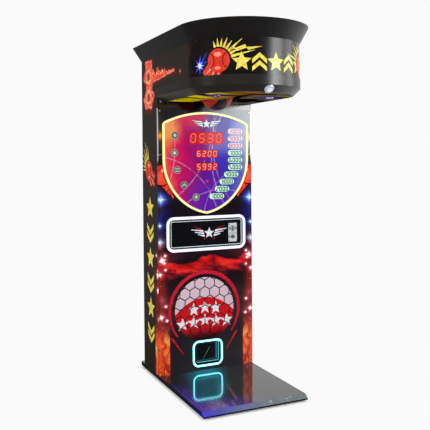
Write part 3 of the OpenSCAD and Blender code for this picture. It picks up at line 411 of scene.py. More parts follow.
@finish
def front_print(g):
    """The printed and laminated front board, plain black behind."""
    x, y, z = g.xyz()
    wear = g.grain(90.0, 3.0)
    haze = g.step(z, 1.40, 1.75) * 0.07 + g.step(z, 0.80, 0.50) * 0.30
    back = behind_face(g, y)
    g.surface(Base_Color=g.mix(back, front_colour(g, x, z), "211F1E"),
              Roughness=0.07 + wear * 0.06 + g.most(haze, back * 0.40),
              Normal=g.bump(g.grain(260.0, 1.0), 0.00002))


@finish
def trim_finish(g):
    """The corner trims: bare aluminium above, covered by the wrapped print lower down."""
    x, y, z = g.xyz()
    fray = g.noise(g.vector(x, y, z * 3.0), 40.0, 4.0)
    bare = g.step(z + fray * 0.30, 1.63, 1.67)
    lines = g.noise(g.vector(x, y, z * 0.05), 160.0, 4.0)
    aluminium = g.mix(lines, "C4C6CC", "E8EAEE")
    g.surface(Base_Color=g.mix(bare, front_colour(g, x, z), aluminium), Metallic=bare * 0.4,
              Roughness=0.14 + lines * 0.1 * bare)


@finish
def side_print(g):
    """The side boards' laminate: a flame at the head, the fire strip down the front edge, plain inside."""
    x, y, z = g.xyz()
    stem_y, cross_z, deep_red = 0.440, 2.060, "6A0E0C"
    grain = g.grain(320.0, 3.0)
    colour = g.mix(g.grain(5.0, 3.0), "241D17", "2B231C")
    lick = g.noise(g.vector(y * 1.4, z * 0.8, 4.0), 15.0, 3.0, 0.45, 0.5) - 0.5
    bulge = g.step(abs(abs(z - 1.995) - 0.068), 0.060, 0.0) * 0.038
    stem = 0.070 + bulge + lick * 0.11 - abs(y - stem_y)
    stem = g.least(stem, g.least(z - 1.842, 2.180 - z) * 0.55 + lick * 0.03)
    spine = cross_z - g.step(y, 0.40, 0.05) * 0.010 + lick * 0.05
    tongue = 0.004 + g.step(y, -0.06, 0.40) * 0.040 + lick * 0.07 - abs(z - spine)
    tongue = g.least(tongue, g.least(y + 0.045, 0.48 - y))
    dot = 0.011 - away(y + 0.137, z - 2.036)
    edge = g.most(stem, g.most(tongue, dot))
    heat = g.noise(g.vector(y, z, 9.0), 26.0, 3.0, distortion=1.6)
    reds = {0.30: "A81A12", 0.42: "DC3220", 0.56: "EE5034", 0.66: "F68E60", 0.74: "FFE4CC"}
    flame = g.ramp(heat + g.step(edge, 0.0, 0.03) * 0.08 - 0.03, reds)
    for rise in (1.925, 2.065):
        reach = away(y - 0.445, z - rise)
        flame = g.mix(g.step(reach, 0.034, 0.012) * 0.8, flame, deep_red)
        flame = g.mix(g.step(abs(reach - 0.046 - lick * 0.03), 0.011, 0.003), flame, "F8A080")
    flame = g.mix(g.step(abs(edge - 0.007), 0.005, 0.001) * 0.7, flame, "F6A084")
    colour = g.mix(g.step(edge, -0.022, 0.0) * 0.8, colour, deep_red)
    colour = g.mix(g.step(edge, 0.0, 0.005), colour, flame)
    colour = edge_fire(g, colour, y - FRONT_Y, z, 5.0)
    inside = g.step(abs(x), SIDE_X - FACE_DEPTH, SIDE_X - 3 * FACE_DEPTH) * behind_face(g, y)
    g.surface(Base_Color=g.mix(inside, colour, "241F1B"), Roughness=0.38 + grain * 0.12,
              Specular_IOR_Level=0.35, Normal=g.bump(grain, 0.00012))


@finish
def plain_laminate(g):
    """Plain black melamine board with a fine grain."""
    rubs = g.grain(9.0, 5.0, 0.7)
    g.surface(Base_Color=g.mix(g.step(rubs, 0.45, 0.75), "211F1E", "2E2B29"), Roughness=0.36 + rubs * 0.2,
              Specular_IOR_Level=0.4, Normal=g.bump(g.grain(320.0, 3.0), 0.00012))


@finish
def bare_board(g):
    """Unpainted particle board: warm tan flakes."""
    tone = g.parts(g.cells(g.place(), 260.0, "Color"))[0]
    g.surface(Base_Color=g.ramp(tone, {0.0: "8A6A44", 0.5: "A98758", 1.0: "C6A878"}), Roughness=0.85,
              Normal=g.bump(tone, 0.0002))


@finish
def deck_gloss(g):
    """Glossy black steel with dust and black skirts, and painted light: a violet glow at the left front and
    the skirts' front left corner, a lip of painted reflections from blue to grey with pale painted
    highlights, and a painted pool of the pocket's cyan light.
    """
    x, y, z = g.xyz()
    past_front = y - low("deck_plate").y
    along = x - low("deck_plate").x
    scuff = g.noise(g.vector(x * 6.0, y * 60.0, z), 9.0, 5.0, 0.7)
    streaks = g.noise(g.vector(x * 3.0, y * 0.25, 0.0), 22.0, 4.0, 0.6)
    sheen_blotch = g.noise(g.vector(x, y * 3.0, z), 26.0, 5.0, 0.7)
    # The violet at the left front and by the left side is a painted glow on the black steel.
    near_lip = g.step(past_front, 0.30 - along * 0.2, 0.03)
    by_side = g.step(past_front, 0.62, 0.20) * g.step(along, 0.16, 0.0)
    violet = g.most(near_lip * g.step(along, 0.52, 0.10), by_side)
    shade = g.mix(g.step(streaks, 0.40, 0.64), "2A2090", "5C3CA0")
    colour = g.mix(violet * 0.92, "131316", shade)
    # The lip's blue to grey tones are painted reflections, and its pale blotches are painted highlights.
    lip_reflection_tones = {0.0: "4440D0", 0.16: "4A4EA8", 0.38: "666C94", 0.60: "70787E", 1.0: "6C7476"}
    lip = g.ramp(along / 0.7 + (sheen_blotch - 0.5) * 0.10, lip_reflection_tones)
    lip = g.mix(g.step(sheen_blotch, 0.56, 0.66) * g.step(along, 0.30, 0.45), lip, "A4B0B4")
    on_slope = g.step(past_front, 0.0305, 0.0285) * g.step(z, DECK_Z - 0.0215, DECK_Z - 0.0205)
    colour = g.mix(on_slope, colour, lip)
    skirt = g.step(z, DECK_Z - 0.0035, DECK_Z - 0.0045) * (1.0 - on_slope)
    # The violet at the skirts' front left corner is a painted glow.
    corner = g.step(past_front, 0.30, 0.0) * g.step(along, 0.30, 0.0)
    colour = g.mix(skirt, colour, g.mix(corner, "0A0A0C", "14065A"))
    speck = g.step(g.cells(g.place(), 95.0), 0.10, 0.05) * g.step(g.grain(23.0), 0.56, 0.60)
    colour = g.mix(speck, colour, "9C9CA2")
    # A painted pool of the pocket guide's cyan light, given as emission on the deck in front of the pocket.
    reach = FRONT_Y - y
    beside = x + 0.02 + reach * 0.35
    glow_by_board = g.step(abs(beside), 0.20, 0.02) * g.step(reach, 0.28, 0.0)
    painted_light_pool = g.step(away(beside / 0.135, (reach - 0.26) / 0.32), 1.30, 0.50) * 0.16 + glow_by_board * 0.28
    painted_light_pool = painted_light_pool * g.step(z, DECK_Z - 0.003, DECK_Z - 0.001) * g.step(reach, -0.001, 0.004)
    g.surface(Base_Color=colour, Roughness=0.07 + g.step(scuff, 0.45, 0.85) * 0.09 + on_slope * 0.15,
              IOR=1.75, Emission_Color="0898B8", Emission_Strength=painted_light_pool,
              Normal=g.bump(g.grain(70.0), 0.00004))


@finish
def metal(g, code, roughness, streak=(1.0, 1.0, 1.0), worn=0.12, metallic=1.0):
    """Bare or plated metal with a directional polish and faint stains, less metallic where it is painted."""
    drawn = g.vector(*(along * stretch for along, stretch in zip(g.xyz(), streak)))
    lines = g.noise(drawn, 160.0, 4.0, 0.6)
    stain = g.grain(14.0, 4.0, 0.65)
    g.surface(Base_Color=g.mix(stain, dimmed(code, 0.82), code), Metallic=metallic,
              Roughness=roughness + lines * worn, Normal=g.bump(lines, 0.00006))


@finish
def plastic(g, code, roughness, scale=420.0, depth=0.00008, worn=0.12):
    """Moulded plastic with a fine spark-eroded texture and slightly uneven gloss."""
    rub = g.grain(16.0, 4.0, 0.65)
    g.surface(Base_Color=g.mix(rub, dimmed(code, 0.85), code), Roughness=roughness + rub * worn,
              Normal=g.bump(g.grain(scale), depth))


@finish
def ink(g, code, shade, speckle=0.0):
    """Screen-printed ink: an even colour with a faint mottle, and worn specks where asked."""
    mottle = g.grain(55.0, 4.0, 0.6)
    colour = g.mix(g.step(mottle, 0.30, 0.72), shade, code)
    if speckle:
        worn_at = 0.5 + 0.2 / speckle
        colour = g.mix(g.step(g.grain(130.0, 4.0, 0.7), worn_at, worn_at + 0.03), colour, "1A1218")
    g.surface(Base_Color=colour, Roughness=0.16 + mottle * 0.06)


@finish
def glow(g, core, edge, strength, rim, front, deep):
    """A lit guide: its face burns with the core colour, and its rounded sides are dimmer and deeper."""
    x, y, z = g.xyz()
    face = g.step(y, front + deep * 1.7, front)
    ripple = g.grain(34.0)
    g.surface(Base_Color=dimmed(edge, 0.3), Roughness=0.35, Emission_Color=g.mix(face, edge, core),
              Emission_Strength=(0.95 + ripple * 0.10) * (rim + face * (strength - rim)))


@finish
def lit(g, colour, strength, base=(0.02, 0.02, 0.02)):
    """A small lit surface with a slight unevenness from the lamp behind it; the marquee's blue spark ink,
    which has no lamp, uses it for a painted glow.
    """
    g.surface(Base_Color=base, Roughness=0.25, Specular_IOR_Level=0.15, Emission_Strength=strength,
              Emission_Color=g.mix(g.grain(90.0), dimmed(colour, 0.86), colour))


@finish
def marquee_print(g):
    """The marquee's semi-gloss black sheet with a faint warm haze behind its figures."""
    x, y, z = g.xyz()
    cloud = g.grain(8.0, 5.0, 0.65)
    colour = g.mix(g.step(cloud, 0.54, 0.75) * 0.5, "140E0E", "3A1410")
    dots = g.cells(g.vector(g.math("ARCTAN2", x, ROUND_Y - y) * MARQUEE_R, z), 55.0)
    colour = g.mix(g.step(dots, 0.14, 0.08) * g.step(cloud, 0.54, 0.60) * 0.7, colour, "C83A24")
    g.surface(Base_Color=colour, Roughness=0.24 + cloud * 0.06, Normal=g.bump(g.grain(300.0), 0.00002))


SKY = {0.04: "D84A44", 0.13: "CC1C50", 0.25: "AC0C5A", 0.37: "7E106C", 0.49: "58107A", 0.64: "441C8C",
       0.78: "382CA0", 0.90: "545CB4", 1.0: "7C8CC4"}
# Place across, drop from the top, radius, share and colour of the soft patches in the shield's sky; the pale
# blue-grey one at the upper right is a painted reflection of a lamp
SKY_PATCHES = (
    (-0.14, 0.50, 0.14, 0.6, "961660"),
    (0.02, 0.58, 0.24, 0.7, "5E22A0"),
    (-0.05, 0.20, 0.13, 0.7, "7C1070"),
    (0.10, 0.30, 0.15, 0.5, "3A2CB0"),
    (-0.09, 0.02, 0.15, 0.85, "D8405A"),
    (-0.31, 0.08, 0.17, 1.0, "EC9A54"),
    # A painted reflection of a lamp at the shield's upper right
    (0.27, 0.12, 0.14, 0.4, "A9B0CC"),
)
# Middle, drop from the top, radius, width and share of the light trails, which are arcs of large rings
SKY_TRAILS = (
    (0.62, 0.30, 0.58, 0.0012, 0.6),
    (0.70, 0.20, 0.65, 0.0010, 0.5),
    (-0.95, 0.22, 0.72, 0.0014, 0.4),
    (-0.60, 0.02, 0.66, 0.0012, 0.55),
    (-0.42, 0.80, 0.52, 0.0012, 0.45),
    (0.12, 0.98, 0.46, 0.0012, 0.4),
    (0.34, 0.72, 0.36, 0.0010, 0.4),
)


@finish
def shield_print(g):
    """The shield's printed sky: orange through crimson and violet to pale blue, crossed by light trails, with
    a painted reflection at its upper right and a painted yellow glow of the lit outline along its sides.
    """
    x, y, z = g.xyz()
    half, head = high("shield_face").x, high("shield_face").z
    cloud = g.noise(g.vector(x, z), 5.5, 5.0, 0.55) - 0.5
    fine = g.noise(g.vector(x * 1.6, z * 0.6, 5.0), 26.0, 5.0, 0.65) - 0.5
    across = x + cloud * 0.16 + fine * 0.05
    drop = head - z + cloud * 0.10
    sky = g.ramp(across / (2 * half) + 0.5, SKY)
    for u, fall, size, share, tone in SKY_PATCHES:
        sky = g.mix(g.step(away(across - u, drop - fall), size, size * 0.15) * share, sky, tone)
    for u, fall, size, wide, share in SKY_TRAILS:
        beside = abs(away(x - u, head - z - fall) - size + fine * 0.006)
        trail = (g.step(beside, wide * 2.2, wide * 0.4) + g.step(beside, wide * 9.0, 0.0) * 0.15) * share
        sky = g.mix(g.clamp(trail * g.step(fine + cloud, -0.22, 0.16)), sky, "ECC4E4")
    # A painted glow of the lit outline, yellow along the sky's sides.
    sky = g.mix(g.step(abs(x), half - 0.014, half) * 0.5, sky, "F0C070")
    g.surface(Base_Color=sky, Roughness=0.10 + fine * 0.03, Specular_IOR_Level=0.18)


@finish
def roundel_fill(g, bright):
    """A roundel's fill under a dark honeycomb: pink above the horizon and red below it."""
    x, y, z = g.xyz()
    chips = g.grain(120.0, 5.0, 0.75)
    wire = g.step(hex_gap(g, x - 0.02, z, 0.074), 0.052, 0.034)
    if bright:
        colour = g.mix(g.step(chips, 0.38, 0.56), "C4B8BE", "F0E8EC")
    else:
        horizon = z - 0.545 + (x + 0.018) ** 2 * 2.2
        lower = g.mix(g.step(chips, 0.35, 0.7), "B00812", "DC1620")
        upper = g.mix(g.step(chips, 0.40, 0.60), "BFA0AE", "DCC2CE")
        colour = g.mix(g.step(horizon, -0.001, 0.001), lower, upper)
        colour = g.mix(g.step(z + (chips - 0.5) * 0.12, 0.36, 0.26), colour, "240810")
    colour = g.mix(g.step(chips, 0.66, 0.70), colour, "1C1018")
    g.surface(Base_Color=g.mix(wire, colour, "1A1016"), Roughness=0.12)


def canopy_lamp_spots():
    """Where the two lamps sit under the canopy: how far from the middle, how far back and how high."""
    lo, hi = low("canopy_lamps"), high("canopy_lamps")
    return Vector((hi.x - (hi.y - lo.y) / 2, (lo.y + hi.y) / 2, lo.z))


@finish
def underside_print(g):
    """The underside's print: yellow fading to olive and grey, crossed by crisp black shapes, with a painted
    orange glow from the red ball and painted violet pools of light round the lamps.
    """
    x, y, z = g.xyz()
    warp = g.noise(g.vector(x, y), 3.0) - 0.5
    drawn_x = x * 0.7 + warp * 0.5
    tone = g.noise(g.vector(drawn_x, y * 1.2, 2.0), 4.0, 3.0, 0.45)
    shapes = g.noise(g.vector(drawn_x, y * 1.5, 11.0), 5.4, 2.0, 0.40)
    fade = g.step(x, 0.10, -0.22)
    yellows = {0.34: "5A5A52", 0.44: "605C1C", 0.54: "A8A40A", 0.64: "ECE010"}
    colour = g.ramp(tone - 0.17 + fade * 0.33, yellows)
    # A painted orange glow from the red ball, on the yellow near the middle.
    warm = g.step(x, -0.30, -0.14) * g.step(x, 0.14, -0.04)
    colour = g.mix(warm * 0.60, colour, "A05A06")
    colour = g.mix(g.step(shapes, 0.520, 0.530), colour, "0C0908")
    # Painted violet pools of the lamps' light round the two lamps.
    lamp = canopy_lamp_spots()
    colour = g.mix(g.step(away(abs(x) - lamp.x, y - lamp.y), 0.10, 0.02) * 0.7, colour, "4A30A8")
    g.surface(Base_Color=colour, Roughness=0.40, Specular_IOR_Level=0.0)


@finish
def leather(g, code, shade):
    """Glove leather: fine pebbled grain with creases and rubbed high spots."""
    crease = g.grain(60.0, 6.0, 0.7, 0.6)
    rub = g.grain(11.0, 4.0, 0.6)
    colour = g.mix(g.step(rub, 0.35, 0.7), shade, code)
    colour = g.mix(g.step(crease, 0.60, 0.74) * 0.35, colour, dimmed(shade, 0.4))
    g.surface(Base_Color=colour, Roughness=0.34 + rub * 0.16, Specular_IOR_Level=0.35,
              Normal=g.bump(g.cells(g.place(), 620.0) + crease * 0.8, 0.0003))


@finish
def circuit_green(g):
    """Solder-masked circuit board with pads and traces."""
    x, y, z = g.xyz()
    tracks = g.noise(g.vector(x * 1.0, y, z * 5.0), 60.0, 1.0)
    colour = g.mix(g.step(tracks, 0.52, 0.54), "0C3A20", "14532E")
    colour = g.mix(g.step(g.cells(g.place(), 210.0), 0.16, 0.12), colour, "B8B4A0")
    g.surface(Base_Color=colour, Roughness=0.35)


@finish
def rubber(g):
    """Matte black rubber with dusty scuffs."""
    dust = g.grain(40.0, 5.0, 0.7)
    g.surface(Base_Color=g.mix(g.step(dust, 0.5, 0.8), "161616", "3A3836"), Roughness=0.75,
              Normal=g.bump(dust, 0.0003))


@finish
def red_window(g):
    """The dark red window in front of the digits."""
    x, y, z = g.xyz()
    rows = g.noise(g.vector(x * 3.0, 0.0, z), 30.0)
    g.surface(Base_Color="300406", Roughness=0.12, Specular_IOR_Level=0.12, Emission_Strength=0.80,
              Emission_Color=g.mix(rows, "C40C16", "E41E28"))


@finish
def flap_plastic(g):
    """The flap's smoked plastic with one long pale diagonal streak, and a painted reflection of the guide's
    cyan light along its right side and its foot.
    """
    x, y, z = g.xyz()
    line = abs((x + 0.005) * 0.80 - (z - 0.155) * 0.52 + g.grain(30.0) * 0.004)
    pale_streak = g.step(line, 0.0022, 0.0004) * g.step(abs(z - 0.158), 0.045, 0.03)
    right, foot = high("prize_flap").x, low("prize_flap").z
    # A painted reflection of the guide's light, as emission along the flap's right side and foot.
    painted_reflection = g.most(g.step(x, right - 0.020, right - 0.006), g.step(z, foot + 0.012, foot) * 0.6)
    g.surface(Base_Color=g.mix(pale_streak * 0.6, "0A0D10", "9AA0A4"), Roughness=0.26 + pale_streak * 0.3,
              Specular_IOR_Level=0.2, Emission_Color="1E7E94", Emission_Strength=painted_reflection * 0.8)


@finish
def bezel_with_bright_line(g):
    """The coin window's bezel: dark teal paint with a bright line along its inner edge."""
    x, y, z = g.xyz()
    half, mid, corner = (high("window_bezel") - low("window_bezel")) / 2, middle("window_bezel"), 0.018
    across = abs(x - mid.x) - (half.x - corner)
    up = abs(z - mid.z) - (half.z - corner)
    past = away(g.most(across, 0.0), g.most(up, 0.0)) + g.least(g.most(across, up), 0.0) - corner
    worn = g.grain(45.0, 4.0, 0.7)
    steel = g.mix(worn, "D0E0DC", "F4FFFC")
    # A bright line along the bezel's inner edge.
    g.surface(Base_Color=g.mix(g.step(past, -0.0030, -0.0036), "081A1A", steel),
              Roughness=0.24 + worn * 0.12, Specular_IOR_Level=0.3)


# The painter of each of the record's material slots, and what it is given after the name
FINISH_OF_SLOT = {
    "black_laminate": (plain_laminate,),
    "bare_board": (bare_board,),
    "deck_gloss": (deck_gloss,),
    "black_steel": (plastic, "1E1E20", 0.38, 240.0, 0.0002),
    "grey_steel": (metal, "8A8E94", 0.32, (1.0, 1.0, 0.1)),
    "zinc": (metal, "C4C8CC", 0.24, (1.0, 0.4, 1.0)),
    "bearing_iron": (metal, "5C5E62", 0.42),
    "edge_aluminium": (metal, "E6E8EC", 0.16, (1.0, 1.0, 0.05)),
    "polished_strip": (metal, "4C4848", 0.15, (0.05, 1.0, 1.0)),
    "rubber": (rubber,),
    "shield_print": (shield_print,),
    "led_window": (red_window,),
    "circuit_green": (circuit_green,),
    "black_acrylic": (plastic, "0B0A10", 0.05, 420.0, 0.0, 0.03),
    "bezel_grey": (bezel_with_bright_line,),
    "coin_plate_metal": (metal, "D4D8DA", 0.38, (1.0, 1.0, 0.06), 0.12, 0.3),
    "red_plastic": (plastic, "B81818", 0.25),
    "black_plastic": (plastic, "141416", 0.34),
    "smoked_plastic": (flap_plastic,),
    "marquee_print": (marquee_print,),
    "moulded_black": (plastic, "171514", 0.32, 900.0, 0.00005, 0.08),
    "underside_print": (underside_print,),
    "lamp_chrome": (metal, "DADDE2", 0.10, (1.0, 1.0, 1.0), 0.05),
}
SLOT_OF = {part["node"]: part["material_slot"] for part in frame["record"]["subparts"]}


@functools.cache
def slot_finish(slot):
    """The finish of one of the record's material slots."""
    painter, *how = FINISH_OF_SLOT[slot]
    return painter(slot, *how)


# Making pieces

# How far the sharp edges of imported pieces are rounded, where no setting says so
EDGES = {
    "front_board": 0.0004,
    "back_board": 0.0006,
    "rear_door": 0.0010,
    "window_bezel": 0.0008,
    "coin_plate": 0.0007,
    "prize_pocket": 0.0006,
    "prize_flap": 0.0008,
    "crown": 0.0015,
    "ledge_skirt": 0.0012,
    "marquee_sheet": 0.0006,
}
# The angle past which an edge is sharp, on flat pieces and on round ones
SHARP, ROUND_SHARP = 32.0, 60.0


def show(name, shape, finishes, body="cabinet", slot=None, stands_for=(), smooth=SHARP, soften=0.0, rounds=2):
    """Turns a bmesh into a finished piece that rides on its body."""
    mesh = bpy.data.meshes.new(name)
    shape.to_mesh(mesh)
    shape.free()
    for material in finishes:
        mesh.materials.append(material)
    mesh.shade_smooth()
    mesh.set_sharp_from_angle(angle=math.radians(smooth))
    piece = bpy.data.objects.new(name, mesh)
    bpy.context.scene.collection.objects.link(piece)
    if soften:
        rounding = piece.modifiers.new("rounded edges", "BEVEL")
        rounding.width = soften
        rounding.segments = rounds
        rounding.limit_method = "ANGLE"
        rounding.angle_limit = math.radians(smooth)
        rounding.harden_normals = True
    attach(piece, body)
    if stands_for:
        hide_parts(*stands_for)
    return piece


def merged_copy(node):
    """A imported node's mesh as a bmesh of whole faces."""
    mesh = frame["nodes"][node].data.copy()
    for layer in ("custom_normal", "sharp_edge", "sharp_face"):
        if layer in mesh.attributes:
            mesh.attributes.remove(mesh.attributes[layer])
    shape = bmesh.new()
    shape.from_mesh(mesh)
    bpy.data.meshes.remove(mesh)
    bmesh.ops.remove_doubles(shape, verts=shape.verts, dist=SAME_POINT)
    bmesh.ops.dissolve_limit(shape, angle_limit=math.radians(0.6), verts=shape.verts, edges=shape.edges)
    bmesh.ops.recalc_face_normals(shape, faces=shape.faces)
    for face in shape.faces:
        face.material_index = 0
    return shape


def softened(node, material=None, width=None, body="cabinet", rounds=2):
    """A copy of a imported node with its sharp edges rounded, which stands for it."""
    material = material or slot_finish(SLOT_OF[node])
    show(node + "_shaped", merged_copy(node), [material], body, SLOT_OF[node], (node,),
         soften=width or EDGES[node], rounds=rounds)


def carried(*nodes, material=None):
    """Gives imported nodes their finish."""
    for node in nodes:
        frame["nodes"][node].material_slots[0].material = material or slot_finish(SLOT_OF[node])


def light_guide(node, kind, finish_name, settings):
    """A lit guide with rounded edges, in the colours and strengths that the settings hold for its kind."""
    looks = [getattr(settings, "%s_%s" % (kind, part)) for part in ("core", "edge", "glow", "rim")]
    material = glow(finish_name, *looks, low(node).y, settings.guide_round)
    softened(node, material, settings.guide_round, rounds=4)


def on_face(y):
    """Places a drawing on an upright face at y that looks forward."""
    return lambda u, v, out: Vector((u, y - out, v))


def on_side(side):
    """Places a drawing on the left (-1) or right (1) side board."""
    return lambda u, v, out: Vector((side * (SIDE_X + out), u, v))


def on_marquee(u, v, out):
    """Wraps a drawing round the marquee, with u measured along its bend from the middle."""
    angle, radius = u / MARQUEE_R, MARQUEE_R + out
    return Vector((radius * math.sin(angle), ROUND_Y - radius * math.cos(angle), v))


def turned(u, v, reach, degrees):
    """The point at a reach and an angle from u, v."""
    angle = math.radians(degrees)
    return u + reach * math.cos(angle), v + reach * math.sin(angle)


def flat_at(u, v, wide=1.0, tall=1.0):
    """The matrix that stretches a flat shape and sets it at u, v."""
    return Matrix.Translation((u, v, 0.0)) @ Matrix.Diagonal((wide, tall, 1.0, 1.0))


class Drawing:
    """Flat figures drawn in one plane, then laid on the machine as thin raised prints or plates.

    Every figure is given its middle, its sizes and the number of its finish.
    """

    def __init__(self):
        self.shape = bmesh.new()

    def paint(self, faces, finish):
        for face in faces:
            face.material_index = finish

    def polygon(self, points, finish=0):
        corners = [self.shape.verts.new((u, v, 0.0)) for u, v in points]
        self.paint([self.shape.faces.new(corners)], finish)

    def block(self, u, v, width, height, finish=0):
        w, h = width / 2, height / 2
        self.polygon([(u - w, v - h), (u + w, v - h), (u + w, v + h), (u - w, v + h)], finish)

    def disc(self, u, v, radius, finish=0, segments=48, stretch=1.0):
        made = bmesh.ops.create_circle(self.shape, cap_ends=True, segments=segments, radius=radius,
                                       matrix=flat_at(u, v, stretch))
        self.paint(made["verts"][0].link_faces, finish)
        return made["verts"]

    def star(self, u, v, radius, finish=0, points=5, waist=0.42, ragged=0.0, seed=1):
        """A star whose tips can be ragged, with the first one upwards."""
        centre = Matrix.Translation((-u, -v, 0.0))
        luck = random.Random(seed)
        for number, vert in enumerate(self.disc(u, v, radius, finish, segments=2 * points)):
            reach = (waist if number % 2 else 1.0) * (1.0 - ragged * luck.random())
            bmesh.ops.scale(self.shape, vec=(reach, reach, 1.0), space=centre, verts=[vert])

    def ring(self, u, v, outer, inner, finish=0, segments=64):
        edges = set()
        for radius in (outer, inner):
            made = bmesh.ops.create_circle(self.shape, segments=segments, radius=radius,
                                           matrix=flat_at(u, v))
            edges.update(edge for vert in made["verts"] for edge in vert.link_edges)
        self.paint(bmesh.ops.bridge_loops(self.shape, edges=list(edges))["faces"], finish)

    def arc(self, u, v, outer, inner, start, end, finish=0, segments=48, taper=0.0):
        """Part of a ring between two angles in degrees, whose stroke may thin towards both ends."""
        rim, bore = [], []
        for i in range(segments + 1):
            share = i / segments
            turn = start + (end - start) * share
            inside = inner + (outer - inner) * taper * abs(2.0 * share - 1.0) ** 3
            rim.append(turned(u, v, outer, turn))
            bore.append(turned(u, v, inside, turn))
        self.polygon(rim + bore[::-1], finish)

    def bar(self, start, end, wide, narrow, finish=0):
        """A straight stroke that tapers from wide to narrow."""
        a, b = Vector(start), Vector(end)
        across = (b - a).orthogonal().normalized() / 2
        self.polygon([a + across * wide, a - across * wide, b - across * narrow, b + across * narrow], finish)

    def chevron(self, u, v, width, height, stroke, finish=0, turn=0.0):
        """An arrowhead stroke that points up, or turned anticlockwise."""
        w, h = width / 2, height / 2
        points = [(-w, -h), (0.0, h - stroke), (w, -h), (w, -h + stroke), (0.0, h), (-w, -h + stroke)]
        c, s = math.cos(turn), math.sin(turn)
        self.polygon([(u + c * x - s * y, v + s * x + c * y) for x, y in points], finish)

    def rounded(self, u, v, width, height, radius, segments=5):
        """A rectangle with round corners."""
        made = bmesh.ops.create_grid(self.shape, x_segments=1, y_segments=1, size=1.0,
                                     matrix=flat_at(u, v, width / 2, height / 2))
        bmesh.ops.bevel(self.shape, geom=made["verts"], offset=radius, segments=segments, profile=0.5,
                        affect="VERTICES", material=-1)

    def hollow(self, wall):
        """Leaves only a rim of this width round the drawing's face."""
        core = list(self.shape.faces)
        bmesh.ops.inset_region(self.shape, faces=core, thickness=wall, use_boundary=True,
                               use_even_offset=True)
        bmesh.ops.delete(self.shape, geom=core, context="FACES")

    def laid(self, place, out=LIFT, thick=PRINT_T, pitch=0.0):
        """The drawing as thin closed solids on a face of the machine, cut every pitch where it bends."""
        shape = self.shape
        if pitch:
            reach = [vert.co.x for vert in shape.verts]
            for i in range(math.ceil(min(reach) / pitch), math.floor(max(reach) / pitch) + 1):
                everything = [*shape.verts, *shape.edges, *shape.faces]
                bmesh.ops.bisect_plane(shape, geom=everything, plane_co=(i * pitch, 0, 0), plane_no=(1, 0, 0))
        grown = bmesh.ops.extrude_face_region(shape, geom=list(shape.faces))["geom"]
        tops = [part for part in grown if isinstance(part, bmesh.types.BMVert)]
        bmesh.ops.translate(shape, vec=(0.0, 0.0, thick), verts=tops)
        for vert in shape.verts:
            vert.co = place(vert.co.x, vert.co.y, out + vert.co.z)
        bmesh.ops.recalc_face_normals(shape, faces=shape.faces)
        return shape


def row_figure(d, i, u, v, star_r, waist, chevron, lifts, finish=0, grow=0.0, turn=0.0):
    """The figure of one place in a row: a star where its number is even, and else stacked chevrons."""
    if i % 2:
        for lift in lifts:
            d.chevron(u, v + lift, *(size + grow for size in chevron), finish, turn)
    else:
        d.star(u, v, star_r + grow, finish, waist=waist)


def print_figures(name, place, figures, finishes, slot="black_laminate", pitch=0.0):
    """Lays layers of figures over each other, each a drawing function, as one piece."""
    whole = bmesh.new()
    for layer, figure in enumerate(figures):
        drawing = Drawing()
        figure(drawing)
        part = drawing.laid(place, out=LIFT + layer * NEXT_LAYER, pitch=pitch)
        mesh = bpy.data.meshes.new(name)
        part.to_mesh(mesh)
        part.free()
        whole.from_mesh(mesh)
        bpy.data.meshes.remove(mesh)
    show(name, whole, finishes, slot=slot)


# Stage and lights

WHITE = (1.0, 1.0, 1.0)
# Azimuth, height, distance, size, radiance and colour of each lamp, and whether gloss shows it
LAMPS = {
    "key_softbox": (44.0, 2.75, 4.4, (1.9, 2.1), 6.0, (1.0, 0.99, 0.97), True),
    "corner_softbox": (34.5, 2.02, 3.6, (0.85, 0.85), 12.5, (0.84, 0.94, 1.0), True),
    "side_softbox": (74.0, 2.45, 4.4, (1.7, 1.3), 3.2, WHITE, True),
    "rim_softbox": (-92.0, 1.85, 3.6, (1.5, 0.9), 0.9, WHITE, True),
    "fill_softbox": (-35.0, 2.2, 5.0, (4.0, 3.0), 4.0, WHITE, False),
    "left_softbox": (-100.0, 2.2, 4.5, (2.5, 2.5), 4.0, WHITE, False),
    "right_softbox": (118.0, 2.4, 4.5, (2.5, 2.5), 4.0, WHITE, False),
    "rear_softbox": (178.0, 2.4, 4.5, (2.8, 2.5), 4.6, WHITE, False),
}


def softbox(name, azimuth, height, distance, size, radiance, colour, in_gloss):
    """A soft rectangular lamp that looks at the machine. Azimuth 0 is in front, and 90 to the right."""
    lamp = bpy.data.lights.new(name, "AREA")
    lamp.shape = "RECTANGLE"
    lamp.size, lamp.size_y = size
    lamp.energy = radiance * math.pi * size[0] * size[1]
    lamp.color = colour
    x, y = turned(0.0, ROUND_Y, distance, azimuth - 90.0)
    spot = Vector((x, y, height))
    aim = Vector((0.0, ROUND_Y, max(0.9, height * 0.6)))
    holder = bpy.data.objects.new(name, lamp)
    turn = (aim - spot).to_track_quat("-Z", "Y").to_matrix().to_4x4()
    holder.matrix_world = Matrix.Translation(spot) @ turn
    holder.visible_camera = False
    holder.visible_glossy = in_gloss
    bpy.context.scene.collection.objects.link(holder)


def place_camera(settings):
    """The camera at the photo's view of the machine."""
    camera = bpy.data.objects.new("camera", bpy.data.cameras.new("camera"))
    camera.data.lens = settings.lens
    camera.data.sensor_width = 36.0
    camera.data.shift_y = settings.shift_y
    place = Matrix.Translation(settings.camera_place)
    turn = Matrix.Rotation(-settings.camera_turn, 4, "Z")
    dip = Matrix.Rotation(math.pi / 2 - settings.camera_dip, 4, "X")
    roll = Matrix.Rotation(settings.camera_roll, 4, "Z")
    camera.matrix_world = place @ turn @ dip @ roll
    bpy.context.scene.collection.objects.link(camera)
    bpy.context.scene.camera = camera


